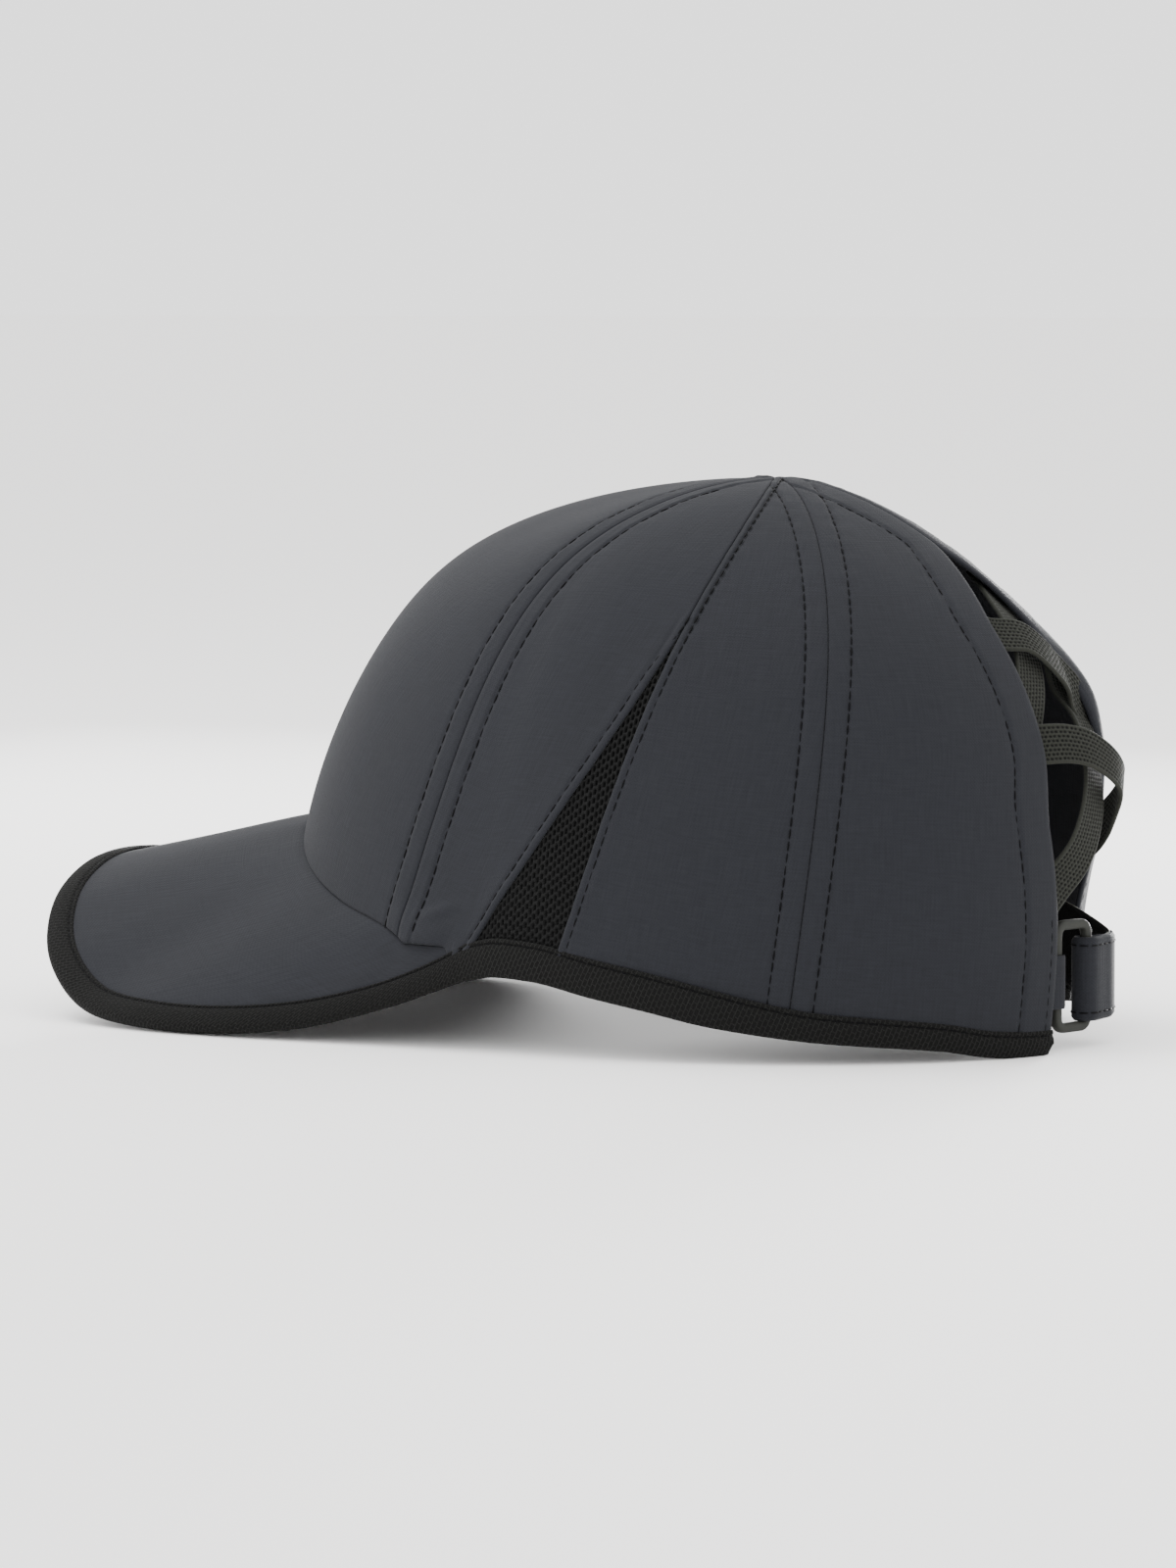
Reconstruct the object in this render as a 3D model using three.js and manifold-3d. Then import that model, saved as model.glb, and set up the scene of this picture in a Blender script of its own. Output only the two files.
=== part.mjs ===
// A ponytail baseball cap that lies on a flat surface, in millimetres.
// +Z is up, the brim points to -Y and the wearer's left is +X.
// Pieces are worked out about the centre of the crown's rim, and the whole cap is then centred on the origin.
// A bearing is the angle round the crown from the front, and a climb the angle from the rim to the top.

import * as THREE from 'three';
import Module from 'manifold-3d';
import { mergeVertices } from 'three/addons/utils/BufferGeometryUtils.js';

// Crown
const rimHalfWidth = 80;
const rimHalfLength = 106;
const crownHeight = 137.1;
const apexSetback = 18.9;
const frontRise = 50.5;
const clothWall = 1.2;
const tipRadius = 2.7;

// Seams, as bearings at the rim and the turn that they make on the way up
const frontSeam = { bearing: 62, turn: 10.2 };
const sideSeam = { bearing: 87.3, turn: 28.6 };
const rearSeam = { bearing: 120, turn: 15.9 };
const meshSpread = 15.3;
const meshClimb = 47.9;

// Brim
const brimReach = 64.7;
const brimHalfWidth = 76.5;
const brimTipHeight = 36.6;
const brimThickness = 2.6;
const brimCornerBearing = 74;
const brimCornerHeight = 25;

// Edge binding
const bindingHeight = 9.5;
const bindingWall = 0.9;

// Rear opening and its elastic lacing
const openingHeight = 123;
const openingHalfWidth = 20;
const elasticWidth = 10.2;
const elasticThickness = 1.1;
const elasticBow = 6;

// Closure strap, ring and tab
const closureWidth = 20.4;
const closureThickness = 1.4;
const closureTailLength = 17.5;
const closureLayer = 2.2;
const ringBar = 2.4;
const ringReach = 11.1;
const ringInset = 3.4;
const ringSink = 4;
const tabWidth = 13;
const tabThickness = 1;
const hemOverlap = 11;

// The closure strap draws the right rear corner in and up, from this far across the opening on
const cornerStart = 8;
const cornerTuck = 14;
const cornerLift = 8;

// Clearances
const seamGap = 0.3;
const rootGap = 0.5;
const bindingSlack = 0.1;
const hemClearance = 0.8;
const ringClearance = 1.1;
const closureClearance = 0.7;
const pressedFlat = 0.4;

// Steps of the faceted surfaces
const meridianRows = 13;
const panelStep = 7;
const brimColumns = 44;
const brimRows = 4;
const meshStep = 3;
const rimSteps = 24;
const elasticSteps = 18;
const turnSteps = 8;

const degrees = Math.PI / 180;
const lerp = THREE.MathUtils.lerp;

// Height of the crown's lower edge round the rim, as a share of the rise at the front
const rimShape = [
  { bearing: 0, rise: 1 },
  { bearing: 10, rise: 0.972 },
  { bearing: 19, rise: 0.905 },
  { bearing: 33, rise: 0.778 },
  { bearing: 47, rise: 0.658 },
  { bearing: 60, rise: 0.555 },
  { bearing: 66, rise: 0.446 },
  { bearing: 70, rise: 0.376 },
  { bearing: 74, rise: 0.345 },
  { bearing: 79, rise: 0.374 },
  { bearing: 85, rise: 0.362 },
  { bearing: 93, rise: 0.303 },
  { bearing: 101, rise: 0.247 },
  { bearing: 109, rise: 0.184 },
  { bearing: 117, rise: 0.14 },
  { bearing: 125, rise: 0.107 },
  { bearing: 134, rise: 0.083 },
  { bearing: 143, rise: 0.057 },
  { bearing: 152, rise: 0.012 },
  { bearing: 160, rise: 0 },
  { bearing: 180, rise: 0 },
];

// How far each meridian stands out of a plain arc at mid height, and leans in low and out high
const meridianShape = [
  { bearing: 0, fullness: 0.025, lean: 0.05 },
  { bearing: 35, fullness: 0.02, lean: 0.025 },
  { bearing: 65, fullness: 0.033, lean: 0.044 },
  { bearing: 90, fullness: 0.063, lean: 0.022 },
  { bearing: 125, fullness: 0.077, lean: -0.012 },
  { bearing: 155, fullness: 0.08, lean: -0.031 },
  { bearing: 180, fullness: 0.091, lean: -0.02 },
];

// Half width of the rear opening from the rim up, as shares of its height and half width
const openingShape = [
  { height: 0, width: 1.07 },
  { height: 0.26, width: 0.97 },
  { height: 0.44, width: 0.995 },
  { height: 0.6, width: 0.86 },
  { height: 0.72, width: 0.7 },
  { height: 0.83, width: 0.565 },
  { height: 0.905, width: 0.345 },
  { height: 0.945, width: 0.19 },
  { height: 1, width: 0 },
];

// Bound edge of the brim from its tip to a corner: half width, reach from the tip back to the corner, tip height
const brimShape = [
  { across: 0, back: 0, height: 1 },
  { across: 0.263, back: 0.009, height: 0.945 },
  { across: 0.508, back: 0.029, height: 0.746 },
  { across: 0.708, back: 0.087, height: 0.475 },
  { across: 0.855, back: 0.19, height: 0.2 },
  { across: 0.957, back: 0.327, height: 0.066 },
  { across: 1, back: 0.494, height: 0.048 },
  { across: 1, back: 0.665, height: 0.1 },
  { across: 0.998, back: 0.839, height: 0.257 },
];

// Height of the binding along the brim edge and the rim, as a share of its full height
const bindingShape = [
  { bearing: 0, height: 0.8 },
  { bearing: 74, height: 1 },
  { bearing: 105, height: 1 },
  { bearing: 125, height: 0.76 },
  { bearing: 180, height: 0.68 },
];

// Elastic straps: place across the opening, place up the crown and stand-off as a share of the bow.
// A row with a layer lies inside the back panel, in that layer.
const elasticShape = {
  elastic_upper_outer: [
    { across: 0.98, up: 0.79, layer: 1 },
    { across: 0.54, up: 0.746, layer: 1 },
    { across: 0.15, up: 0.721, stand: 0.1 },
    { across: -0.3, up: 0.661, stand: 0.08 },
    { across: -0.48, up: 0.642, stand: -0.33 },
    { across: -0.65, up: 0.622, layer: 1.4 },
    { across: -1.2, up: 0.574, layer: 1.8 },
  ],
  elastic_upper_inner: [
    { across: -0.9, up: 0.83, layer: 1.4 },
    { across: -0.42, up: 0.79, layer: 1.4 },
    { across: -0.05, up: 0.722, stand: -0.42 },
    { across: 0.35, up: 0.657, stand: -0.45 },
    { across: 0.78, up: 0.584, layer: 2 },
    { across: 1.2, up: 0.545, layer: 2 },
  ],
  elastic_lower_outer: [
    { across: 1.4, up: 0.555, layer: 1 },
    { across: 0.9, up: 0.548, layer: 1 },
    { across: 0.45, up: 0.536, stand: 0.35 },
    { across: 0.15, up: 0.516, stand: 0.78 },
    { across: -0.3, up: 0.464, stand: 1 },
    { across: -0.66, up: 0.393, stand: -0.02 },
    { across: -0.89, up: 0.345, layer: 1.2 },
    { across: -1.45, up: 0.255, layer: 1 },
  ],
  elastic_lower_inner: [
    { across: -1.15, up: 0.685, layer: 3 },
    { across: -0.8, up: 0.63, layer: 3.4 },
    { across: -0.55, up: 0.573, stand: -0.84 },
    { across: -0.3, up: 0.515, stand: -0.05 },
    { across: 0.1, up: 0.433, stand: 0.12 },
    { across: 0.55, up: 0.351, stand: 0.02 },
    { across: 0.94, up: 0.293, layer: 1.1 },
    { across: 1.4, up: 0.235, layer: 1 },
  ],
};

// Closure line in plan: place across the opening and stand-off from the crown as a share of the ring's sink
const closureShape = [
  { across: -1, stand: -0.72 },
  { across: -0.7, stand: -0.2 },
  { across: -0.25, stand: 0.03 },
  { across: 0, stand: -0.08 },
  { across: 0.28, stand: -0.6 },
  { across: 0.83, stand: -1 },
];

// Right rear edge against the crown's own line, from the surface up: shares of the corner's tuck and lift
const cornerShape = [
  { height: 0, tuck: 1, lift: 1 },
  { height: 0.17, tuck: 0.86, lift: 0.8 },
  { height: 0.32, tuck: 0.5, lift: 0.4 },
  { height: 0.45, tuck: 0.1, lift: 0.1 },
  { height: 0.55, tuck: -0.2, lift: 0 },
  { height: 0.63, tuck: -0.35, lift: 0 },
  { height: 0.75, tuck: -0.12, lift: 0 },
  { height: 0.84, tuck: 0, lift: 0 },
  { height: 1, tuck: 0, lift: 0 },
];

const colours = {
  shell: { color: 0x3f4045, roughness: 0.85, metalness: 0 },
  mesh: { color: 0x1c1c1b, roughness: 0.9, metalness: 0 },
  binding: { color: 0x232322, roughness: 0.92, metalness: 0 },
  elastic: { color: 0x393a35, roughness: 0.85, metalness: 0 },
  ring: { color: 0x414240, roughness: 0.6, metalness: 0 },
};

// Smooth curve through a table, without overshoot and level at both ends
function curveThrough(rows, place, value) {
  const at = rows.map((row) => row[place]);
  const level = rows.map((row) => row[value]);
  const step = at.slice(1).map((end, i) => end - at[i]);
  const slope = step.map((length, i) => (level[i + 1] - level[i]) / length);
  const tangent = at.map((_, i) => {
    const before = slope[i - 1];
    const after = slope[i];
    if (before === undefined || after === undefined || before * after <= 0) return 0;
    const near = 2 * step[i] + step[i - 1];
    const far = step[i] + 2 * step[i - 1];
    return (near + far) / (near / before + far / after);
  });
  return (x) => {
    const inside = THREE.MathUtils.clamp(x, at[0], at[at.length - 1]);
    const i = Math.max(0, Math.min(step.length - 1, at.findIndex((end) => end > inside) - 1));
    const last = inside >= at[at.length - 1] ? step.length - 1 : i;
    const t = (inside - at[last]) / step[last];
    const rise = t * t * (3 - 2 * t);
    return (
      lerp(level[last], level[last + 1], rise) +
      step[last] * (t * (1 - t) * (1 - t) * tangent[last] - t * t * (1 - t) * tangent[last + 1])
    );
  };
}

const rimShare = curveThrough(rimShape, 'bearing', 'rise');
const fullness = curveThrough(meridianShape, 'bearing', 'fullness');
const lean = curveThrough(meridianShape, 'bearing', 'lean');
const openingShare = curveThrough(openingShape, 'height', 'width');
const bindingShare = curveThrough(bindingShape, 'bearing', 'height');
const closureShare = curveThrough(closureShape, 'across', 'stand');
const cornerTuckShare = curveThrough(cornerShape, 'height', 'tuck');
const cornerLiftShare = curveThrough(cornerShape, 'height', 'lift');

// The crown's surface

function rimHeight(bearing) {
  return frontRise * rimShare(Math.abs(bearing)) - pressedFlat * (1 - rimShare(Math.abs(bearing)));
}

function reachAt(bearing, climb) {
  const angle = climb * degrees;
  return (
    Math.cos(angle) +
    fullness(Math.abs(bearing)) * Math.sin(2 * angle) ** 2 -
    lean(Math.abs(bearing)) * Math.sin(4 * angle)
  );
}

function onCrown(bearing, climb) {
  const angle = bearing * degrees;
  const reach = reachAt(bearing, climb);
  const rim = rimHeight(bearing);
  return new THREE.Vector3(
    rimHalfWidth * Math.sin(angle) * reach,
    apexSetback - (rimHalfLength * Math.cos(angle) + apexSetback) * reach,
    rim + (crownHeight - rim) * Math.sin(climb * degrees),
  );
}

function crownNormal(bearing, climb) {
  const step = 0.5;
  const round = onCrown(bearing + step, climb).sub(onCrown(bearing - step, climb));
  const up = onCrown(bearing, climb + step).sub(onCrown(bearing, climb - step));
  return round.cross(up).normalize();
}

function offCrown(bearing, climb, standOff) {
  return onCrown(bearing, climb).addScaledVector(crownNormal(bearing, climb), standOff);
}

function millimetresPerDegree(bearing, climb) {
  return onCrown(bearing + 0.5, climb).distanceTo(onCrown(bearing - 0.5, climb));
}

function climbAtHeight(bearing, height) {
  const rim = rimHeight(bearing);
  return Math.asin((height - rim) / (crownHeight - rim)) / degrees;
}

// Lower edge of the cloth: on the brim's root at the front, inside the binding behind the brim's corner
function lowerClimb(bearing) {
  const overBrim = Math.abs(bearing) <= brimCornerBearing;
  const height = overBrim
    ? Math.max(rimHeight(bearing), brimCornerHeight)
    : rimHeight(bearing) + bindingWall + seamGap;
  return climbAtHeight(bearing, height);
}

// Moves a point of the right rear with the drawn corner, whose pull ends at the rear seam
function drawn(point) {
  if (point.y < apexSetback) return point;
  const seam = onCrown(rearSeam.bearing, 0).x;
  const share =
    THREE.MathUtils.smoothstep(-point.x, cornerStart, openingHalfWidth) *
    (1 - THREE.MathUtils.smoothstep(-point.x, openingHalfWidth, seam));
  const height = point.z / crownHeight;
  point.y -= cornerTuck * cornerTuckShare(height) * share;
  point.z += cornerLift * cornerLiftShare(height) * share;
  return point;
}

// Seam lines, as bearings at a climb
const frontSeamAt = (climb) => frontSeam.bearing + (frontSeam.turn * climb) / 90;
const sideSeamAt = (climb) => sideSeam.bearing + (sideSeam.turn * climb) / 90;
const rearSeamAt = (climb) => rearSeam.bearing + (rearSeam.turn * climb) / 90;

function meshFrontAt(climb) {
  const left = Math.max(0, 1 - climb / meshClimb);
  return sideSeamAt(climb) - meshSpread * left ** 1.5;
}

function openingEdgeAt(climb) {
  const share = (crownHeight * Math.sin(climb * degrees)) / openingHeight;
  if (share >= 1) return 180;
  const half = openingHalfWidth * openingShare(share);
  return 180 - Math.asin(half / (rimHalfWidth * reachAt(180, climb))) / degrees;
}

// Solids

// Closed body between an outer and an inner grid of points
function shell(columns, rows, outer, inner) {
  const positions = [];
  for (const side of [outer, inner]) {
    for (let i = 0; i <= columns; i++) {
      for (let j = 0; j <= rows; j++) positions.push(...side(i, j).toArray());
    }
  }
  const at = (side, i, j) => (side * (columns + 1) + i) * (rows + 1) + j;
  const faces = [];
  const quad = (a, b, c, d) => faces.push(a, b, c, a, c, d);
  for (let i = 0; i < columns; i++) {
    for (let j = 0; j < rows; j++) {
      quad(at(0, i, j), at(0, i + 1, j), at(0, i + 1, j + 1), at(0, i, j + 1));
      quad(at(1, i, j), at(1, i, j + 1), at(1, i + 1, j + 1), at(1, i + 1, j));
    }
    quad(at(0, i, 0), at(1, i, 0), at(1, i + 1, 0), at(0, i + 1, 0));
    quad(at(0, i, rows), at(0, i + 1, rows), at(1, i + 1, rows), at(1, i, rows));
  }
  for (let j = 0; j < rows; j++) {
    quad(at(0, 0, j), at(0, 0, j + 1), at(1, 0, j + 1), at(1, 0, j));
    quad(at(0, columns, j), at(1, columns, j), at(1, columns, j + 1), at(0, columns, j + 1));
  }
  return facingOut(new Float32Array(positions), faces);
}

// Turns a closed body's faces outwards
function facingOut(positions, faces) {
  const [a, b, c] = [new THREE.Vector3(), new THREE.Vector3(), new THREE.Vector3()];
  let volume = 0;
  for (let i = 0; i < faces.length; i += 3) {
    a.fromArray(positions, 3 * faces[i]);
    b.fromArray(positions, 3 * faces[i + 1]);
    c.fromArray(positions, 3 * faces[i + 2]);
    volume += a.dot(b.cross(c));
  }
  if (volume < 0) faces.reverse();
  const geometry = new THREE.BufferGeometry();
  geometry.setAttribute('position', new THREE.BufferAttribute(positions, 3));
  geometry.setIndex(faces);
  return geometry;
}

function mirrored(geometry) {
  const positions = Float32Array.from(geometry.attributes.position.array, (value, i) =>
    i % 3 === 0 ? -value : value,
  );
  return facingOut(positions, Array.from(geometry.index.array));
}

function moved(geometry, move) {
  const positions = geometry.attributes.position;
  const point = new THREE.Vector3();
  for (let i = 0; i < positions.count; i++) {
    move(point.fromBufferAttribute(positions, i));
    positions.setXYZ(i, point.x, point.y, point.z);
  }
  return geometry;
}

const wasm = await Module();
wasm.setup();

function toSolid(geometry) {
  const bare = geometry.clone();
  bare.deleteAttribute('normal');
  bare.deleteAttribute('uv');
  const merged = mergeVertices(bare);
  return new wasm.Manifold(
    new wasm.Mesh({
      numProp: 3,
      vertProperties: merged.attributes.position.array,
      triVerts: Uint32Array.from(merged.index.array),
    }),
  );
}

function toGeometry(solid) {
  const mesh = solid.getMesh();
  return facingOut(mesh.vertProperties, Array.from(mesh.triVerts));
}

const evenRows = Array.from({ length: meridianRows + 1 }, (_, j) => j / meridianRows);

// One cloth panel between two seam lines, from the rim to a top climb
function panel(leftAt, rightAt, topClimb, shares = evenRows, step = panelStep) {
  const columns = Math.ceil((rightAt(0) - leftAt(0)) / step);
  const place = (i, j) => {
    let climb = topClimb * shares[j];
    let bearing = 0;
    for (let pass = 0; pass < 3; pass++) {
      const left = leftAt(climb);
      const right = rightAt(climb);
      const inset = (bound) => seamGap / 2 / millimetresPerDegree(bound, climb);
      bearing = lerp(left + inset(left), right - inset(right), i / columns);
      climb = lerp(lowerClimb(bearing), topClimb, shares[j]);
    }
    return [bearing, climb];
  };
  return shell(
    columns,
    shares.length - 1,
    (i, j) => onCrown(...place(i, j)),
    (i, j) => offCrown(...place(i, j), -clothWall),
  );
}

// Climb at which the panels stop short of the round tip of the front panel
function panelTopClimb() {
  let climb = 90;
  const clearOfTip = tipRadius + 2 * seamGap;
  while (onCrown(180, climb).y - apexSetback < clearOfTip) climb -= 0.1;
  return climb;
}

const topClimb = panelTopClimb();

// The front panel runs on over the top, where a round tip closes the crown
function frontPanel() {
  const shares = [...evenRows, 89.6 / topClimb];
  const cloth = panel((climb) => -frontSeamAt(climb), frontSeamAt, topClimb, shares);
  const tip = new THREE.CylinderGeometry(tipRadius, tipRadius, clothWall, 12);
  tip.rotateX(Math.PI / 2);
  tip.translate(0, apexSetback, crownHeight - clothWall / 2);
  return toGeometry(toSolid(cloth).add(toSolid(tip)));
}

function meshInsert() {
  const left = (climb) => Math.max(meshFrontAt(climb), brimCornerBearing + 0.2);
  return panel(left, sideSeamAt, meshClimb * 0.9, evenRows, meshStep);
}

const sideFrontPanel = () => panel(frontSeamAt, meshFrontAt, topClimb);
const sideBackPanel = () => panel(sideSeamAt, rearSeamAt, topClimb);
const backPanel = () => panel(rearSeamAt, openingEdgeAt, topClimb);

// Brim

const brimTip = -rimHalfLength - brimReach;

function brimCorner() {
  return onCrown(brimCornerBearing, 0);
}

// Bound edge from the right corner over the tip to the left corner
function brimEdgeCurve() {
  const corner = brimCorner();
  const half = brimShape.map(
    (row) =>
      new THREE.Vector3(
        row.across * brimHalfWidth,
        lerp(brimTip, corner.y, row.back),
        row.height * brimTipHeight,
      ),
  );
  half.push(corner);
  const other = half.slice(1).map((point) => point.clone().setX(-point.x));
  return new THREE.CatmullRomCurve3([...other.reverse(), ...half], false, 'centripetal');
}

const brimEdge = brimEdgeCurve();

// Line on the crown that the brim is sewn to
function brimRoot(side) {
  const bearing = brimCornerBearing * side;
  const height = Math.max(rimHeight(bearing), brimCornerHeight) - rootGap;
  return onCrown(bearing, climbAtHeight(bearing, height));
}

const ontoSheet = (side) => THREE.MathUtils.clamp((side + 1) / 2, 0, 1);

// Point of the brim's upper face: side runs from -1 to 1, and out from the root to the bound edge
function onBrim(side, out) {
  const root = brimRoot(side);
  const bound = brimEdge.getPoint(ontoSheet(side));
  const sheet = root.distanceTo(bound) - bindingWall - seamGap;
  return root.lerp(bound, (out * sheet) / (sheet + bindingWall + seamGap));
}

function brimNormal(side) {
  const inSheet = THREE.MathUtils.clamp(side, -0.985, 0.985);
  const along = onBrim(inSheet + 0.01, 0.5).sub(onBrim(inSheet - 0.01, 0.5));
  const out = onBrim(inSheet, 1).sub(onBrim(inSheet, 0));
  return out.cross(along).normalize();
}

// The sheet thins down to the cloth at its corners
function brimThicknessAt(side) {
  const toCorner = THREE.MathUtils.smoothstep(Math.abs(side), 0.75, 1);
  return lerp(brimThickness, clothWall, toCorner);
}

const brimSide = (i) => (2 * i) / brimColumns - 1;

function brim() {
  const point = (i, j, depth) =>
    onBrim(brimSide(i), j / brimRows).addScaledVector(
      brimNormal(brimSide(i)),
      -depth * brimThicknessAt(brimSide(i)),
    );
  return shell(
    brimColumns,
    brimRows,
    (i, j) => point(i, j, 0),
    (i, j) => point(i, j, 1),
  );
}

// Edge binding

// Each station has the cloth's edge, the way into the cloth, its face's way out and its half thickness
function rimStation(bearing) {
  const climb = climbAtHeight(bearing, rimHeight(bearing) + bindingWall + seamGap);
  const out = crownNormal(bearing, climb);
  return {
    edge: onCrown(bearing, climb).addScaledVector(out, -clothWall / 2),
    into: onCrown(bearing, climb + 4).sub(onCrown(bearing, climb)).normalize(),
    out,
    half: clothWall / 2 + seamGap + bindingSlack,
    height: bindingHeight * bindingShare(Math.abs(bearing)),
  };
}

function brimStation(side) {
  const out = brimNormal(side);
  const thick = brimThicknessAt(side);
  return {
    edge: onBrim(side, 1).addScaledVector(out, -thick / 2),
    into: onBrim(side, 0).sub(onBrim(side, 1)).normalize(),
    out,
    half: thick / 2 + seamGap + bindingSlack,
    height: bindingHeight * bindingShare(Math.abs(side) * brimCornerBearing),
  };
}

function bindingStations() {
  const left = [];
  const end = openingEdgeAt(lowerClimb(170)) - seamGap;
  for (let i = 1; i <= rimSteps; i++) left.push(rimStation(lerp(brimCornerBearing, end, i / rimSteps)));
  const right = left.map((station) => ({
    ...station,
    edge: station.edge.clone().setX(-station.edge.x),
    into: station.into.clone().setX(-station.into.x),
    out: station.out.clone().setX(-station.out.x),
  }));
  const front = Array.from({ length: brimColumns + 1 }, (_, i) => brimStation(brimSide(i)));
  return [...right.reverse(), ...front, ...left];
}

function pressed(point) {
  return point.setZ(Math.max(point.z, 0));
}

function edgeBinding() {
  const stations = bindingStations();
  const corner = (i, across, up) => {
    const { edge, into, out } = stations[i];
    return pressed(drawn(edge.clone().addScaledVector(out, across).addScaledVector(into, up)));
  };
  const outerWidth = (i) => stations[i].half + bindingWall;
  const top = (i) => stations[i].height - bindingWall - seamGap;
  const bottom = -bindingWall - seamGap;
  const outer = [
    (i) => corner(i, outerWidth(i), top(i)),
    (i) => corner(i, outerWidth(i), bottom),
    (i) => corner(i, -outerWidth(i), bottom),
    (i) => corner(i, -outerWidth(i), top(i)),
  ];
  const inner = [
    (i) => corner(i, stations[i].half, top(i)),
    (i) => corner(i, stations[i].half, -seamGap),
    (i) => corner(i, -stations[i].half, -seamGap),
    (i) => corner(i, -stations[i].half, top(i)),
  ];
  return shell(stations.length - 1, 3, (i, j) => outer[j](i), (i, j) => inner[j](i));
}

// Elastic lacing

// Stand-off of a band's middle when it lies inside the back panel, in one of two layers
function layerStandOff(layer, thickness) {
  return -clothWall - hemClearance - thickness / 2 - (layer - 1) * (thickness + 2 * seamGap);
}

// Point across the rear opening at a height, with its outward direction
function acrossOpening(x, height, standOff) {
  const climb = climbAtHeight(180, height);
  const bearing = 180 - Math.asin(x / (rimHalfWidth * reachAt(180, climb))) / degrees;
  const out = crownNormal(bearing, climb);
  return { point: onCrown(bearing, climb).addScaledVector(out, standOff), out };
}

// Flat band of a width and thickness along a curve
function band(curve, steps, width, thickness, outAt) {
  const frames = Array.from({ length: steps + 1 }, (_, i) => {
    const t = i / steps;
    const along = curve.getTangent(t);
    const out = outAt(curve.getPoint(t));
    const wide = along.clone().cross(out).normalize();
    return { middle: curve.getPoint(t), wide, out: wide.clone().cross(along).normalize() };
  });
  const corner = (i, j, depth) =>
    frames[i].middle
      .clone()
      .addScaledVector(frames[i].wide, (j - 0.5) * width)
      .addScaledVector(frames[i].out, depth * thickness);
  return shell(steps, 1, (i, j) => corner(i, j, 0.5), (i, j) => corner(i, j, -0.5));
}

function elasticStrap(rows) {
  const points = rows.map((row) => {
    const standOff = row.layer ? layerStandOff(row.layer, elasticThickness) : row.stand * elasticBow;
    return acrossOpening(row.across * openingHalfWidth, row.up * crownHeight, standOff).point;
  });
  const outAt = (point) => acrossOpening(point.x, point.z, 0).out;
  return band(new THREE.CatmullRomCurve3(points), elasticSteps, elasticWidth, elasticThickness, outAt);
}

// Closure

const closureHeight =
  rimHeight(180) + bindingHeight * bindingShare(180) + closureClearance + closureWidth / 2;

// Plan point at the closure's middle height, off the crown's face
function offRear(x, standOff) {
  const { point, out } = acrossOpening(x, closureHeight, 0);
  return point.addScaledVector(out.setZ(0).normalize(), standOff).setZ(closureHeight);
}

// The same, off the closure's own line across the rear
function offClosure(x, standOff) {
  return offRear(x, ringSink * closureShare(x / openingHalfWidth) + standOff);
}

const ringNearX = openingHalfWidth - ringInset;
const ringFarX = ringNearX - ringReach;
const nearBar = offClosure(ringNearX, 0);
const farBar = offClosure(ringFarX, 0);
const ringAlong = nearBar.clone().sub(farBar).normalize();
const ringOut = ringAlong.clone().cross(new THREE.Vector3(0, 0, -1)).normalize();

// Half turn of a band round a bar of the ring, clear of the bar's corners
function turnRound(bar, towards, thickness, startAngle, sweep) {
  const radius = ringBar * Math.SQRT1_2 + seamGap + thickness / 2;
  return Array.from({ length: turnSteps + 1 }, (_, i) => {
    const angle = startAngle + (sweep * i) / turnSteps;
    return bar
      .clone()
      .addScaledVector(towards, radius * Math.cos(angle))
      .addScaledVector(ringOut, radius * Math.sin(angle));
  });
}

// Upright band whose plan is a list of points
function uprightBand(points, width, thickness) {
  const up = new THREE.Vector3(0, 0, 1);
  const frames = points.map((point, i) => {
    const before = points[Math.max(0, i - 1)];
    const after = points[Math.min(points.length - 1, i + 1)];
    return { point, out: after.clone().sub(before).cross(up).normalize() };
  });
  const corner = (i, j, depth) =>
    frames[i].point
      .clone()
      .addScaledVector(frames[i].out, depth * thickness)
      .setZ(frames[i].point.z + (j - 0.5) * width);
  return shell(points.length - 1, 1, (i, j) => corner(i, j, 0.5), (i, j) => corner(i, j, -0.5));
}

// From inside the right back panel, across the rear, round the ring's far bar and back over itself
function closureStrap() {
  const half = (closureThickness + seamGap) / 2;
  const inside = layerStandOff(closureLayer, closureThickness);
  const points = [];
  for (const share of [1, 0.5, 0.1]) {
    points.push(drawn(offRear(-openingHalfWidth - hemOverlap * share, inside)));
  }
  for (const share of [-0.9, -0.7, -0.5, -0.25, 0]) {
    points.push(drawn(offClosure(share * openingHalfWidth, -half)));
  }
  points.push(...turnRound(farBar, ringAlong, closureThickness, -Math.PI / 2, Math.PI));
  const tail = ringFarX - closureTailLength;
  for (const share of [0.15, 0.4, 0.7, 1]) {
    points.push(offClosure(lerp(ringFarX - ringBar, tail, share), half));
  }
  return uprightBand(points, closureWidth, closureThickness);
}

// Holds the ring's near bar, from inside the left back panel and back to it
function ringTab() {
  const outerLayer = layerStandOff(1, tabThickness);
  const innerLayer = layerStandOff(2, tabThickness);
  const end = openingHalfWidth + hemOverlap;
  const start = openingHalfWidth + ringBar;
  const points = [offRear(end, outerLayer), offRear(start, outerLayer)];
  points.push(...turnRound(nearBar, ringAlong, tabThickness, Math.PI / 2, Math.PI));
  points.push(offRear(start, innerLayer), offRear(end, innerLayer));
  return uprightBand(points, tabWidth, tabThickness);
}

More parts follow.
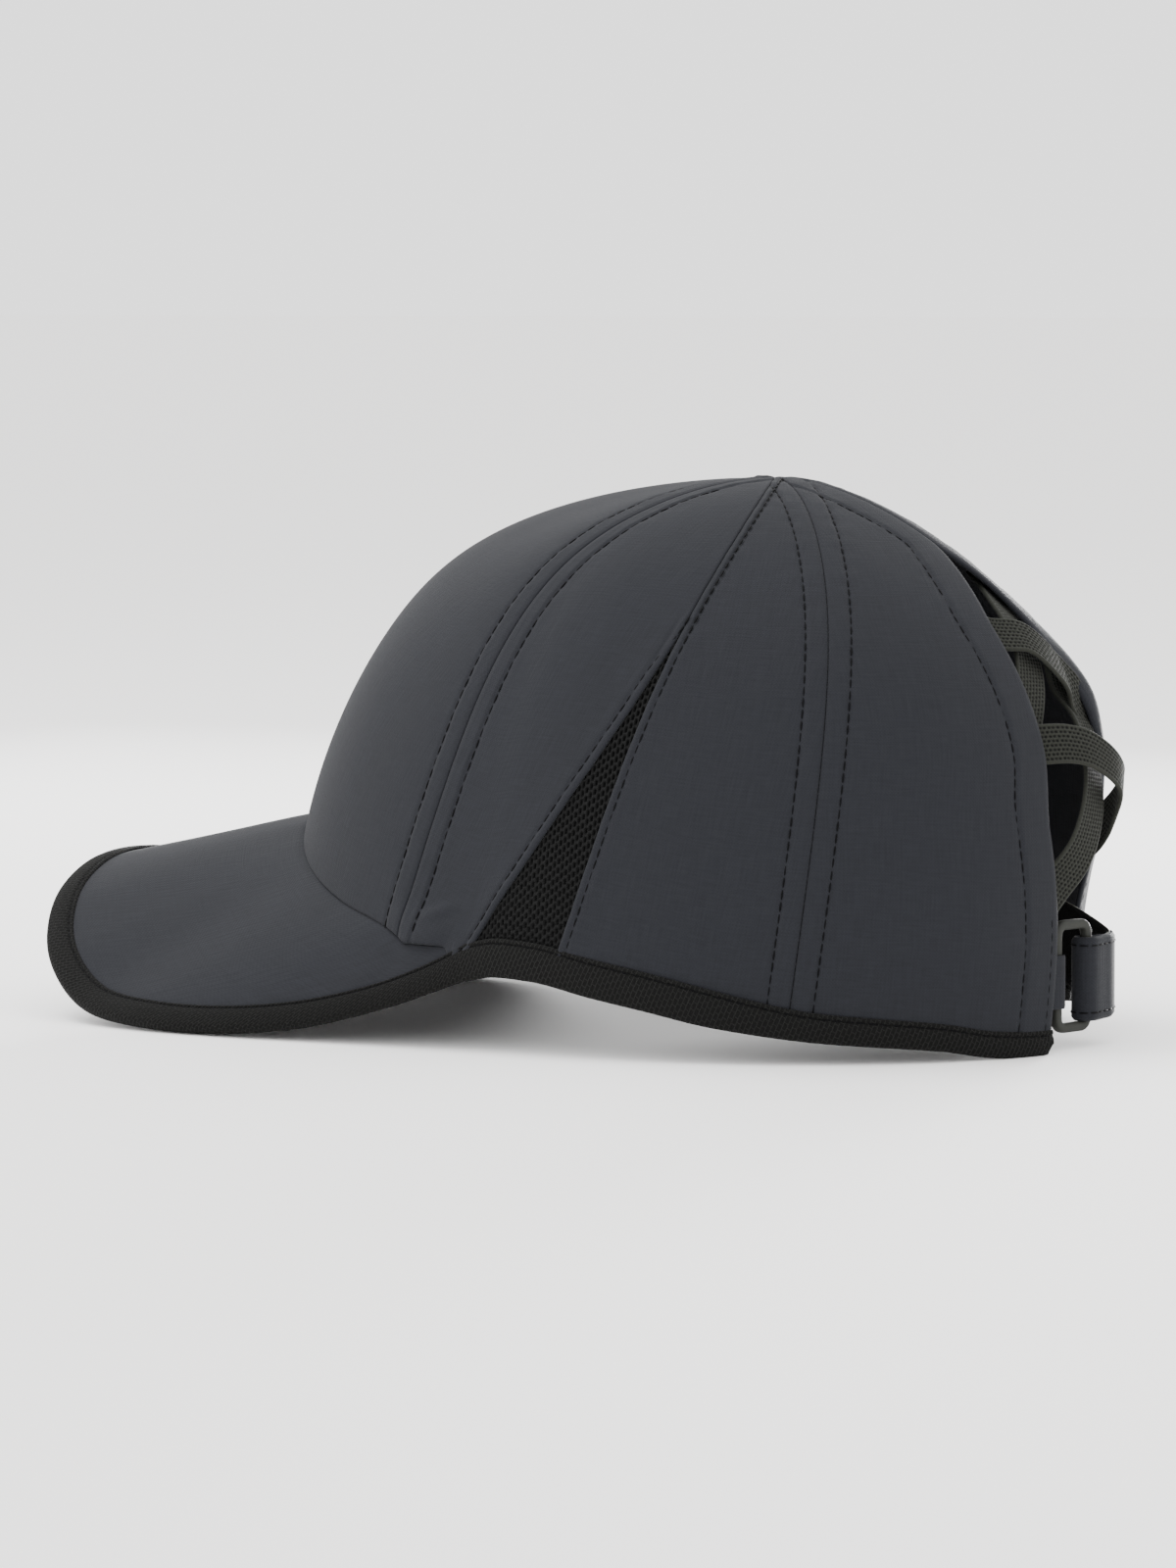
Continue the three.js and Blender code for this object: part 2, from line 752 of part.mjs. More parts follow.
// Flat ring with round corners and one slot, standing behind the opening
function closureRing() {
  const slotHeight = closureWidth + 2 * ringClearance;
  const outline = roundedBox(ringReach + ringBar, slotHeight + 2 * ringBar, ringBar * 1.4);
  outline.holes.push(roundedBox(ringReach - ringBar, slotHeight, ringBar * 0.4));
  const ring = new THREE.ExtrudeGeometry(outline, { depth: ringBar, bevelEnabled: false, curveSegments: 3 });
  ring.translate(0, 0, -ringBar / 2);
  const middle = nearBar.clone().add(farBar).multiplyScalar(0.5);
  const up = new THREE.Vector3(0, 0, 1);
  const place = new THREE.Matrix4().makeBasis(ringAlong.clone(), up, ringAlong.clone().cross(up));
  ring.applyMatrix4(place.setPosition(middle));
  return ring;
}

function roundedBox(width, height, radius) {
  const box = new THREE.Shape();
  const [x, y] = [width / 2, height / 2];
  box.moveTo(x, -y + radius);
  box.lineTo(x, y - radius);
  box.absarc(x - radius, y - radius, radius, 0, Math.PI / 2);
  box.lineTo(-x + radius, y);
  box.absarc(-x + radius, y - radius, radius, Math.PI / 2, Math.PI);
  box.lineTo(-x, -y + radius);
  box.absarc(-x + radius, -y + radius, radius, Math.PI, 1.5 * Math.PI);
  box.lineTo(x - radius, -y);
  box.absarc(x - radius, -y + radius, radius, 1.5 * Math.PI, 2 * Math.PI);
  return box;
}

// Assembly

const cap = new THREE.Group();

function add(name, geometry, colour) {
  const mesh = new THREE.Mesh(geometry, new THREE.MeshStandardMaterial(colours[colour]));
  mesh.name = name;
  cap.add(mesh);
}

function addPair(name, geometry, colour) {
  add(`${name}_left`, geometry, colour);
  add(`${name}_right`, mirrored(geometry), colour);
}

add('front_panel', frontPanel(), 'shell');
addPair('side_front_panel', sideFrontPanel(), 'shell');
addPair('mesh_insert', meshInsert(), 'mesh');
addPair('side_back_panel', sideBackPanel(), 'shell');
add('back_panel_left', backPanel(), 'shell');
add('back_panel_right', moved(mirrored(backPanel()), drawn), 'shell');
add('brim', brim(), 'shell');
add('edge_binding', edgeBinding(), 'binding');
for (const [name, rows] of Object.entries(elasticShape)) {
  add(name, moved(elasticStrap(rows), drawn), 'elastic');
}
add('closure_strap', closureStrap(), 'shell');
add('closure_ring', closureRing(), 'ring');
add('ring_tab', ringTab(), 'shell');

const box = new THREE.Box3().setFromObject(cap);
cap.position.set(-(box.min.x + box.max.x) / 2, -(box.min.y + box.max.y) / 2, -box.min.z);

export default cap;
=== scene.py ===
# A ponytail baseball cap of dark woven cloth that lies on a pale floor.
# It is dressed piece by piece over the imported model, in metres, with +Z up and the brim towards -Y.
# A bearing is the angle round the crown from the front, and a climb the angle from the rim to the top.
import math

import bpy
import numpy as np
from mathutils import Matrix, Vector


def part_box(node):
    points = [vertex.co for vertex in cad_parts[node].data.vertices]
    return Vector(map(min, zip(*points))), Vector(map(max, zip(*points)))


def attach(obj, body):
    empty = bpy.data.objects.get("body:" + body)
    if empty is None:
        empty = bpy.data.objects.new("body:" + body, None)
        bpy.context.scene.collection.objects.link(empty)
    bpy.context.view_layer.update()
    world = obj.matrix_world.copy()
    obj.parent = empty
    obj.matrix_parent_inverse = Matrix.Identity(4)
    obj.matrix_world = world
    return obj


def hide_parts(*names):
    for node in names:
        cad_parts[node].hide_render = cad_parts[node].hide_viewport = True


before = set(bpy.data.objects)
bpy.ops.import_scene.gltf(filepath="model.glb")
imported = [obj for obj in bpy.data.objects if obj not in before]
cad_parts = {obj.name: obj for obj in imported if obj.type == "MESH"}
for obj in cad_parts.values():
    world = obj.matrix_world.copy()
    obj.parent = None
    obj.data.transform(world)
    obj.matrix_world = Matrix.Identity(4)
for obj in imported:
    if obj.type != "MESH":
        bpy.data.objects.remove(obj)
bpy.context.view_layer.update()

bl_info = {
    "name": "Ponytail baseball cap",
    "version": (1, 0, 0),
    "blender": (4, 5, 0),
    "location": "View3D > Sidebar > Cap",
    "description": "Sews the cloth, mesh, tape and straps of a ponytail baseball cap",
    "category": "Object",
}

MM = 0.001

# Crown
RIM_HALF_WIDTH = 80 * MM
RIM_HALF_LENGTH = 106 * MM
CROWN_HEIGHT = 137.1 * MM
APEX_SETBACK = 18.9 * MM
FRONT_RISE = 50.5 * MM
PRESSED_FLAT = 0.4 * MM
CLOTH_WALL = 1.2 * MM
CLOTH_ROW_STEP = 1.2 * MM

# The panels end just short of the top, where the meridians meet in one point
TOP_CLIMB = 89.4

# The crown's frame has its origin under the middle of the rim, and the row's under the middle of the box
CROWN_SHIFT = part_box("front_panel")[0].y + RIM_HALF_LENGTH

# Seams, as bearings at the rim and the turn that they make on the way up
FRONT_SEAM, FRONT_TURN = 62, 10.2
SIDE_SEAM, SIDE_TURN = 87.3, 28.6
REAR_SEAM, REAR_TURN = 120, 15.9
MESH_SPREAD = 15.3
MESH_CLIMB = 47.9

# Mesh inserts, whose edges go in under the folds beside them
MESH_TUCK = 1 * MM
MESH_ROW_STEP = 0.45 * MM
HOLE_DEPTH = 0.55 * MM
# Near black painted into the mesh's holes as the shade inside them
HOLE_PAINTED_SHADE = 0.0012

# Stand-off of a stitch, whose thread sinks into the cloth
THREAD_SINK = -0.2 * MM

# Brim
BRIM_REACH = 64.7 * MM
BRIM_HALF_WIDTH = 76.5 * MM
BRIM_TIP_HEIGHT = 36.6 * MM
BRIM_THICKNESS = 2.6 * MM
BRIM_CORNER_BEARING = 74
BRIM_CORNER_HEIGHT = 25 * MM

# Edge binding
BINDING_HEIGHT = 9.5 * MM
BINDING_WALL = 0.9 * MM
BINDING_LAP = 1.2 * MM
TAPE_STEP = 1.4 * MM
TAPE_POINTS = 20
TAPE_END_ROUND = 3.2 * MM

# Its section, as points at these drops in millimetres from its lip, with the stitches in a groove
LIP_DROPS = (0, 0.1, 0.25, 0.5, 0.8, 1.05, 1.25, 1.45, 1.7, 2.1, 2.7, 3.6, 4.6)
LIP_STITCH_DROP = 1.25 * MM
LIP_STITCH_OUT = 0.42 * MM

# Rear opening and its elastic lacing
OPENING_HEIGHT = 123 * MM
OPENING_HALF_WIDTH = 20 * MM
ELASTIC_WIDTH = 10.2 * MM
ELASTIC_THICKNESS = 1.1 * MM
ELASTIC_BOW = 6 * MM
ELASTIC_RIBS = 9
ELASTIC_COLUMNS = 61
ELASTIC_STEP = 0.32 * MM
PICK_PITCH = 1.15 * MM
PIT_DEPTH = 0.24 * MM

# Closure strap, ring and tab
CLOSURE_WIDTH = 20.4 * MM
CLOSURE_THICKNESS = 1.4 * MM
CLOSURE_TAIL = 17.5 * MM
CLOSURE_LAYER = 2.2
CLOSURE_COLUMNS = 25
CLOSURE_STEP = 0.7 * MM
CLOSURE_STITCH_INSET = 2 * MM
TAIL_DROOP = 1.9 * MM
RING_BAR = 2.4 * MM
RING_REACH = 11.1 * MM
RING_INSET = 3.4 * MM
RING_SINK = 4 * MM
RING_LIFT = 1 * MM
TAB_WIDTH = 13 * MM
TAB_THICKNESS = 1 * MM
TAB_CLOTH = 0.4 * MM
HEM_OVERLAP = 11 * MM

# The ring's section is a circle at 1 and a square with sharp corners at 0
RING_ROUNDNESS = 0.55

# The closure strap draws the right rear corner in and up, from this far across the opening on
CORNER_START = 8 * MM
CORNER_TUCK = 14 * MM
CORNER_LIFT = 8 * MM

SEAM_GAP = 0.3 * MM
HEM_CLEARANCE = 0.8 * MM
RING_CLEARANCE = 1.1 * MM
CLOSURE_CLEARANCE = 0.7 * MM

# Thickness that the tab's turn round the bar is drawn for, below 0 because its cloth hugs the bar
TAB_HUG = 0.2 * MM - SEAM_GAP

# Height of the crown's lower edge round the rim, as (bearing, share of the rise at the front)
RIM_SHAPE = (
    (0, 1), (10, 0.972), (19, 0.905), (33, 0.778), (47, 0.658), (60, 0.555), (66, 0.446),
    (70, 0.376), (74, 0.345), (79, 0.374), (85, 0.362), (93, 0.303), (101, 0.247), (109, 0.184),
    (117, 0.14), (125, 0.107), (134, 0.083), (143, 0.057), (152, 0.012), (160, 0), (180, 0),
)

# How far each meridian stands out of a plain arc, and leans in low and out high, by bearing
FULLNESS_SHAPE = (
    (0, 0.025), (35, 0.02), (65, 0.033), (90, 0.063), (125, 0.077), (155, 0.08), (180, 0.091),
)
LEAN_SHAPE = (
    (0, 0.05), (35, 0.025), (65, 0.044), (90, 0.022), (125, -0.012), (155, -0.031), (180, -0.02),
)

# Half width of the rear opening from the rim up, as (share of its height, share of its half width)
OPENING_SHAPE = (
    (0, 1.12), (0.26, 1.06), (0.44, 1.05), (0.6, 0.8), (0.72, 0.68),
    (0.83, 0.565), (0.905, 0.345), (0.945, 0.19), (1, 0),
)

# Bound edge of the brim from its tip to a corner, as (half width, way back to the corner, tip height) shares
BRIM_SHAPE = (
    (0, 0, 1), (0.263, 0.009, 0.945), (0.508, 0.029, 0.746), (0.712, 0.083, 0.435), (0.858, 0.187, 0.15),
    (0.957, 0.327, 0.066), (1, 0.494, 0.048), (1, 0.665, 0.1), (0.998, 0.839, 0.257),
)

# Height of the binding, as (bearing, share of its full height)
BINDING_SHAPE = ((0, 0.8), (74, 1), (105, 1), (125, 0.76), (180, 0.68))

# Elastic straps, as (place across the opening, place up the crown, kind, value)
# A stand is a share of the bow off the crown, and a layer is a place inside the back panel
ELASTIC_SHAPE = {
    "elastic_upper_outer": (
        (0.98, 0.79, "layer", 1), (0.54, 0.746, "layer", 1), (0.15, 0.721, "stand", 0.1),
        (-0.3, 0.666, "stand", 0.1), (-0.5, 0.64, "stand", -0.05), (-0.72, 0.608, "layer", 0.9),
        (-1.2, 0.574, "layer", 1.4),
    ),
    "elastic_upper_inner": (
        (-0.9, 0.83, "layer", 1.4), (-0.42, 0.79, "layer", 1.4), (-0.05, 0.722, "stand", -0.42),
        (0.35, 0.657, "stand", -0.45), (0.78, 0.584, "layer", 2), (1.2, 0.545, "layer", 2),
    ),
    "elastic_lower_outer": (
        (1.4, 0.555, "layer", 1), (0.9, 0.548, "layer", 1), (0.45, 0.536, "stand", 0.35),
        (0.15, 0.516, "stand", 0.78), (-0.3, 0.464, "stand", 1), (-0.66, 0.393, "stand", -0.02),
        (-0.89, 0.345, "layer", 1.2), (-1.45, 0.255, "layer", 1),
    ),
    "elastic_lower_inner": (
        (-1.15, 0.685, "layer", 3), (-0.8, 0.63, "layer", 2.5), (-0.55, 0.573, "stand", -0.3),
        (-0.3, 0.515, "stand", -0.05), (0.1, 0.433, "stand", 0.12), (0.55, 0.351, "stand", 0.02),
        (0.94, 0.293, "layer", 1.1), (1.4, 0.235, "layer", 1),
    ),
}

# Closure line in plan, as (place across the opening, stand-off from the crown as a share of the ring's sink)
CLOSURE_SHAPE = ((-1, -0.72), (-0.7, -0.2), (-0.25, 0.03), (0, -0.08), (0.28, -0.6), (0.83, -1))

# Right rear edge against the crown's own line, as (height, share of the tuck, share of the lift)
CORNER_SHAPE = (
    (0, 1, 1), (0.17, 0.86, 0.8), (0.32, 0.5, 0.4), (0.45, 0.1, 0.1), (0.55, -0.2, 0),
    (0.63, -0.35, 0), (0.75, -0.12, 0), (0.84, 0, 0), (1, 0, 0),
)

# Softboxes, as (name, place, size, watts), which all aim at the cap's middle
SOFTBOXES = (
    ("top_softbox", (0.2, -0.7, 1.5), (1.4, 1.0), 22),
    ("front_softbox", (1.2, -1.3, 0.9), (0.9, 0.7), 3),
)
FLOOR_HALF_WIDTH = 30

# Camera, fitted to the photograph's frame of 1200 by 1600
IMAGE_HEIGHT = 1600
IMAGE_MIDDLE = (600, 800)
AIM_PIXEL = (720.75, 801.68)
AIM_HEIGHT = 60 * MM
CAMERA_AZIMUTH = 115
CAMERA_ELEVATION = 4.5
CAMERA_DISTANCE = 1.6
PIXEL_SIZE = 0.245 * MM
SENSOR_HEIGHT = 24


def linear(colour):
    """Linear red, green and blue of an sRGB hex colour."""
    shares = [int(colour[i : i + 2], 16) / 255 for i in (1, 3, 5)]
    return [c / 12.92 if c <= 0.04045 else ((c + 0.055) / 1.055) ** 2.4 for c in shares]


# Curves and lengths


def smooth_curve(rows):
    """Smooth curve through (place, value) rows, without overshoot and level at both ends."""
    at, level = np.array(rows, float).T
    step = np.diff(at)
    slope = np.diff(level) / step
    before, after = slope[:-1], slope[1:]
    near = 2 * step[1:] + step[:-1]
    far = step[1:] + 2 * step[:-1]
    steady = before * after > 0
    tangent = np.zeros_like(at)
    pull = near[steady] / before[steady] + far[steady] / after[steady]
    tangent[1:-1][steady] = (near + far)[steady] / pull

    def value(place):
        inside = np.clip(place, at[0], at[-1])
        i = np.clip(np.searchsorted(at, inside, side="right") - 1, 0, len(step) - 1)
        t = (inside - at[i]) / step[i]
        rise = t * t * (3 - 2 * t)
        bend = t * (1 - t) ** 2 * tangent[i] - t * t * (1 - t) * tangent[i + 1]
        return level[i] + (level[i + 1] - level[i]) * rise + step[i] * bend

    return value


def route(points, shares):
    """Points at shares from 0 to 1 of a smooth route through points, its segments counted alike."""
    points = np.array(points, float)
    ends = np.vstack([2 * points[0] - points[1], points, 2 * points[-1] - points[-2]])
    count = len(points) - 1
    place = np.clip(np.asarray(shares) * count, 0, count)
    i = np.minimum(place.astype(int), count - 1)
    t = (place - i)[:, None]
    near = [ends[i + k] for k in range(4)]
    p0, p1, p2, p3 = near
    d0, d1, d2 = (np.sqrt(np.linalg.norm(b - a, axis=1))[:, None] for a, b in zip(near, near[1:]))
    leave = ((p1 - p0) / d0 - (p2 - p0) / (d0 + d1) + (p2 - p1) / d1) * d1
    arrive = ((p2 - p1) / d1 - (p3 - p1) / (d1 + d2) + (p3 - p2) / d2) * d1
    bend = 3 * (p2 - p1) - 2 * leave - arrive
    close = 2 * (p1 - p2) + leave + arrive
    return p1 + leave * t + bend * t**2 + close * t**3


def evenly(points, step):
    """The same polyline with points a step apart."""
    reach = lengths_along(points)
    count = max(2, int(round(reach[-1] / step)) + 1)
    return sampled(points, reach, np.linspace(0, reach[-1], count))


def sampled(values, reach, at):
    """Vectors that are known at some lengths along a line, read at others."""
    return np.stack([np.interp(at, reach, column) for column in values.T], -1)


def lengths_along(points):
    return np.concatenate([[0], np.cumsum(np.linalg.norm(np.diff(points, axis=0), axis=1))])


def unit(vectors):
    return vectors / np.linalg.norm(vectors, axis=-1, keepdims=True)


def ease(value, start, end):
    """0 before start, 1 after end and smooth between."""
    t = np.clip((value - start) / (end - start), 0, 1)
    return t * t * (3 - 2 * t)


def ridge(value, centre, width):
    return np.exp(-(((value - centre) / width) ** 2))


rim_share = smooth_curve(RIM_SHAPE)
fullness = smooth_curve(FULLNESS_SHAPE)
lean = smooth_curve(LEAN_SHAPE)
opening_share = smooth_curve(OPENING_SHAPE)
binding_share = smooth_curve(BINDING_SHAPE)
closure_share = smooth_curve(CLOSURE_SHAPE)
corner_tuck = smooth_curve([(height, tuck) for height, tuck, _ in CORNER_SHAPE])
corner_lift = smooth_curve([(height, lift) for height, _, lift in CORNER_SHAPE])


# The crown's surface


def rim_height(bearing):
    share = rim_share(np.abs(bearing))
    return FRONT_RISE * share - PRESSED_FLAT * (1 - share)


def reach_at(bearing, climb):
    angle = np.radians(climb)
    side = np.abs(bearing)
    return np.cos(angle) + fullness(side) * np.sin(2 * angle) ** 2 - lean(side) * np.sin(4 * angle)


def on_crown(bearing, climb):
    bearing, climb = np.broadcast_arrays(np.asarray(bearing, float), np.asarray(climb, float))
    angle = np.radians(bearing)
    reach = reach_at(bearing, climb)
    rim = rim_height(bearing)
    x = RIM_HALF_WIDTH * np.sin(angle) * reach
    y = APEX_SETBACK - (RIM_HALF_LENGTH * np.cos(angle) + APEX_SETBACK) * reach + CROWN_SHIFT
    z = rim + (CROWN_HEIGHT - rim) * np.sin(np.radians(climb))
    return np.stack([x, y, z], -1)


def crown_ways(bearing, climb):
    """Metres a degree round the crown and up it."""
    step = 0.5
    across = on_crown(bearing + step, climb) - on_crown(bearing - step, climb)
    up = on_crown(bearing, climb + step) - on_crown(bearing, climb - step)
    return across, up


def degree_width(bearing, climb):
    return np.linalg.norm(crown_ways(bearing, climb)[0], axis=-1)


def crown_normal(bearing, climb):
    across, up = crown_ways(np.asarray(bearing, float), np.minimum(climb, 89.0))
    return unit(np.cross(across, up))


def climb_at_height(bearing, height):
    rim = rim_height(bearing)
    return np.degrees(np.arcsin(np.clip((height - rim) / (CROWN_HEIGHT - rim), -1, 1)))


def lower_climb(bearing):
    """Lower edge of the cloth: on the brim's root at the front, inside the binding behind its corner."""
    rim = rim_height(bearing)
    over_brim = np.maximum(rim, BRIM_CORNER_HEIGHT)
    behind = rim + BINDING_LAP
    share = ease(np.abs(bearing), BRIM_CORNER_BEARING - 4, BRIM_CORNER_BEARING - 1.5)
    return climb_at_height(bearing, over_brim + (behind - over_brim) * share)


def drawn(points):
    """Points of the right rear moved with the drawn corner, whose pull ends at the rear seam."""
    across, back, height = -points[..., 0], points[..., 1], points[..., 2]
    climb = climb_at_height(REAR_SEAM, height)
    seam = on_crown(rear_seam(climb), climb)[..., 0]
    share = ease(across, CORNER_START, OPENING_HALF_WIDTH)
    share = share * (1 - ease(across, OPENING_HALF_WIDTH, np.maximum(seam, OPENING_HALF_WIDTH + MM)))
    share = np.where(back < APEX_SETBACK + CROWN_SHIFT, 0, share)
    move = np.zeros_like(points)
    move[..., 1] = -CORNER_TUCK * corner_tuck(height / CROWN_HEIGHT) * share
    move[..., 2] = CORNER_LIFT * corner_lift(height / CROWN_HEIGHT) * share
    return points + move


def front_seam(climb):
    return FRONT_SEAM + FRONT_TURN * climb / 90


def right_front_seam(climb):
    return -front_seam(climb)


def side_seam(climb):
    return SIDE_SEAM + SIDE_TURN * climb / 90


def rear_seam(climb):
    return REAR_SEAM + REAR_TURN * climb / 90


def mesh_front(climb):
    return side_seam(climb) - MESH_SPREAD * np.clip(1 - climb / MESH_CLIMB, 0, 1) ** 1.5


def opening_edge(climb):
    share = CROWN_HEIGHT * np.sin(np.radians(climb)) / OPENING_HEIGHT
    half = OPENING_HALF_WIDTH * opening_share(np.minimum(share, 1))
    return 180 - np.degrees(np.arcsin(half / (RIM_HALF_WIDTH * reach_at(180, climb))))


def up_the_seam(seam):
    """Length along a seam line as a function of climb."""
    climbs = np.linspace(-2, 89.9, 240)
    reach = lengths_along(on_crown(seam(climbs), climbs))
    return lambda climb: np.interp(climb, climbs, reach)


def seam_slant(seam, bearing, climb):
    """Metres a degree round the crown, and a seam's length for each metre that it climbs."""
    across, up = crown_ways(bearing, climb)
    wide = np.linalg.norm(across, axis=-1)
    turn = (seam(climb + 0.5) - seam(climb - 0.5)) * wide / np.linalg.norm(up, axis=-1)
    return wide, np.sqrt(1 + turn**2)


def from_seam(seam, bearing, climb):
    """Distance across the cloth from a seam line, in metres."""
    wide, slant = seam_slant(seam, bearing, climb)
    return np.abs(bearing - seam(climb)) * wide / slant


def beside_seam(seam, climb, distance, side):
    """Bearing of a line that runs at a distance from a seam."""
    bearing = seam(climb)
    for _ in range(3):
        wide, slant = seam_slant(seam, bearing, climb)
        bearing = seam(climb) + side * distance * slant / wide
    return bearing


def bulge(bearing, above):
    """Stand-off of the cloth that puffs out over the brim's corner, by its height above its lower edge."""
    puff = 1.9 * MM * ridge(np.abs(bearing), 66.5, 5.5) * ridge(above, 3 * MM, 6 * MM)
    # Beside the mesh the lower edge goes in under the binding
    tuck = 0.5 * MM * ease(np.abs(bearing), 68.5, 71) * (1 - ease(above, 0, 6 * MM))
    return puff - tuck


def creases(bearing, height):
    """Stand-off of a fold over the brim's corner and of a faint press mark across the back panel."""
    side = np.abs(bearing)
    corner = ridge(height, 33 * MM + 0.5 * MM * (side - 68), 1.3 * MM) * ridge(side, 68.5, 2.6)
    mark = ridge(height, 86 * MM, 0.5 * MM) * ridge(side, 148, 6)
    return 0.9 * MM * corner + 0.15 * MM * mark


def sway(points):
    """Slow waves of soft cloth, as a stand-off that neighbouring panels share."""
    waves = (
        ((41, 13, 22), 0.4, 0.22), ((-17, 46, 31), 1.9, 0.2), ((66, -38, 55), 3.1, 0.13),
        ((28, 83, -61), 5.2, 0.1), ((-95, 52, 90), 0.7, 0.06),
    )
    total = np.zeros(points.shape[:-1])
    for way, phase, height in waves:
        total += height * MM * np.sin(points @ np.array(way, float) + phase)
    return total


# Meshes


def loft(name, rings, uv, closed=False, marks=None):
    """Mesh through closed rings of points, whose second half runs back along the first."""
    count, around = rings.shape[:2]
    index = np.arange(count * around).reshape(count, around)
    after = np.roll(index, -1, axis=1)
    ahead = np.roll(index, -1, axis=0) if closed else index[1:]
    ahead_after = np.roll(ahead, -1, axis=1)
    here, here_after = (index, after) if closed else (index[:-1], after[:-1])
    quads = np.stack([here, ahead, ahead_after, here_after], -1).reshape(-1, 4)
    if not closed:
        half = around // 2
        j = np.arange(half - 1)
        for row, turn in ((index[0], 1), (index[-1], -1)):
            cap = np.stack([row[j], row[j + 1], row[around - 2 - j], row[around - 1 - j]], -1)
            quads = np.vstack([quads, cap[:, ::turn]])
    mesh = bpy.data.meshes.new(name)
    mesh.from_pydata(rings.reshape(-1, 3).tolist(), [], quads.tolist())
    if signed_volume(mesh) < 0:
        mesh.flip_normals()
    corner = np.empty(len(mesh.loops), int)
    mesh.loops.foreach_get("vertex_index", corner)
    layer = mesh.uv_layers.new(name="UVMap")
    layer.data.foreach_set("uv", uv.reshape(-1, 2)[corner].astype(np.float32).ravel())
    # The mark attribute holds the pit mask, which the materials paint shade into
    if marks is not None:
        mark = mesh.attributes.new("mark", "FLOAT", "POINT")
        mark.data.foreach_set("value", marks.astype(np.float32).ravel())
    mesh.polygons.foreach_set("use_smooth", np.ones(len(mesh.polygons), bool))
    mesh.update()
    return link(name, mesh)


def signed_volume(mesh):
    mesh.calc_loop_triangles()
    corners = np.empty(len(mesh.loop_triangles) * 3, int)
    mesh.loop_triangles.foreach_get("vertices", corners)
    place = np.empty(len(mesh.vertices) * 3)
    mesh.vertices.foreach_get("co", place)
    a, b, c = place.reshape(-1, 3)[corners.reshape(-1, 3)].transpose(1, 0, 2)
    return np.einsum("ij,ij->i", a, np.cross(b, c)).sum()


def link(name, mesh):
    piece = bpy.data.objects.new(name, mesh)
    bpy.context.scene.collection.objects.link(piece)
    return piece


def shell(name, outer, inner, uv, marks=None):
    """Closed wall between two grids of points."""
    rings = np.concatenate([outer, inner[:, ::-1]], axis=1)
    both = np.concatenate([uv, uv[:, ::-1]], axis=1)
    if marks is not None:
        marks = np.concatenate([marks, marks[:, ::-1]], axis=1)
    return loft(name, rings, both, marks=marks)


def mirrored(piece):
    """Copy of a left piece on the right side, drawn in with the right rear corner."""
    name = piece.name.replace("_left", "_right")
    mesh = piece.data.copy()
    mesh.name = name
    place = np.empty(len(mesh.vertices) * 3, np.float32)
    mesh.vertices.foreach_get("co", place)
    place[::3] *= -1
    mesh.vertices.foreach_set("co", drawn(place.reshape(-1, 3)).astype(np.float32).ravel())
    mesh.flip_normals()
    mesh.update()
    return link(name, mesh)


def dress(piece, material, slot, *nodes):
    """Gives a piece its material, hangs it under the root body and hides the solids that it stands for."""
    if not piece.data.materials:
        piece.data.materials.append(material)
    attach(piece, "root")
    if nodes:
        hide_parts(*nodes)


def dress_pair(piece, material, slot, node):
    """Dresses a left piece and its copy on the right side."""
    dress(piece, material, slot, node + "_left")
    dress(mirrored(piece), material, slot, node + "_right")


# Materials


def add_node(tree, kind, settings=None, inputs=None):
    """Adds a node, sets its properties, and sets or links its inputs."""
    made = tree.nodes.new(kind)
    for name, value in (settings or {}).items():
        setattr(made, name, value)
    for name, value in (inputs or {}).items():
        if isinstance(value, bpy.types.NodeSocket):
            tree.links.new(value, made.inputs[name])
        else:
            made.inputs[name].default_value = value
    return made


def new_material(name, roughness, sheen=0.0, specular=0.3):
    """Material with a Principled shader and an output, and its node tree."""
    material = bpy.data.materials.new(name)
    material.use_nodes = True
    tree = material.node_tree
    tree.nodes.clear()
    shader = add_node(tree, "ShaderNodeBsdfPrincipled", inputs={
        "Roughness": roughness, "Specular IOR Level": specular, "Sheen Weight": sheen, "Sheen Roughness": 0.5,
    })
    add_node(tree, "ShaderNodeOutputMaterial", inputs={"Surface": shader.outputs["BSDF"]})
    return material, tree, shader


def cloth_map(tree):
    """The piece's UV map, in millimetres across and along the cloth."""
    return add_node(tree, "ShaderNodeUVMap", {"uv_map": "UVMap"}).outputs["UV"]


# Mask of the pits, where the mesh and webbing materials paint shade
def marked_pits(tree):
    return add_node(tree, "ShaderNodeAttribute", {"attribute_name": "mark"}).outputs["Fac"]


def fine_grain(tree, scale, detail=2.0):
    """Noise of a scale per metre, on the piece's own coordinates."""
    place = add_node(tree, "ShaderNodeTexCoord").outputs["Object"]
    noise = add_node(tree, "ShaderNodeTexNoise", inputs={"Vector": place, "Scale": scale, "Detail": detail})
    return noise.outputs["Fac"]


def wave(tree, length, pitch):
    """Sine of a length in millimetres with a pitch in millimetres."""
    turn = add_node(tree, "ShaderNodeMath", {"operation": "MULTIPLY"}, {0: length, 1: 2 * math.pi / pitch})
    return add_node(tree, "ShaderNodeMath", {"operation": "SINE"}, {0: turn.outputs[0]}).outputs[0]


def streaks(tree, across, along, detail=2.0):
    """Noise stretched to grains of a width and length in millimetres."""
    size = add_node(tree, "ShaderNodeMapping", inputs={
        "Vector": cloth_map(tree), "Scale": (1 / across, 1 / along, 1),
    })
    noise = add_node(tree, "ShaderNodeTexNoise", inputs={
        "Vector": size.outputs["Vector"], "Scale": 1.0, "Detail": detail, "Roughness": 0.6,
    })
    return noise.outputs["Fac"]


def combine(tree, operation, first, second):
    return add_node(tree, "ShaderNodeMath", {"operation": operation}, {0: first, 1: second}).outputs[0]


def spread(tree, value, low, high):
    """0 at the low value and 1 at the high one."""
    return add_node(tree, "ShaderNodeMapRange", inputs={
        "Value": value, "From Min": low, "From Max": high,
    }).outputs[0]


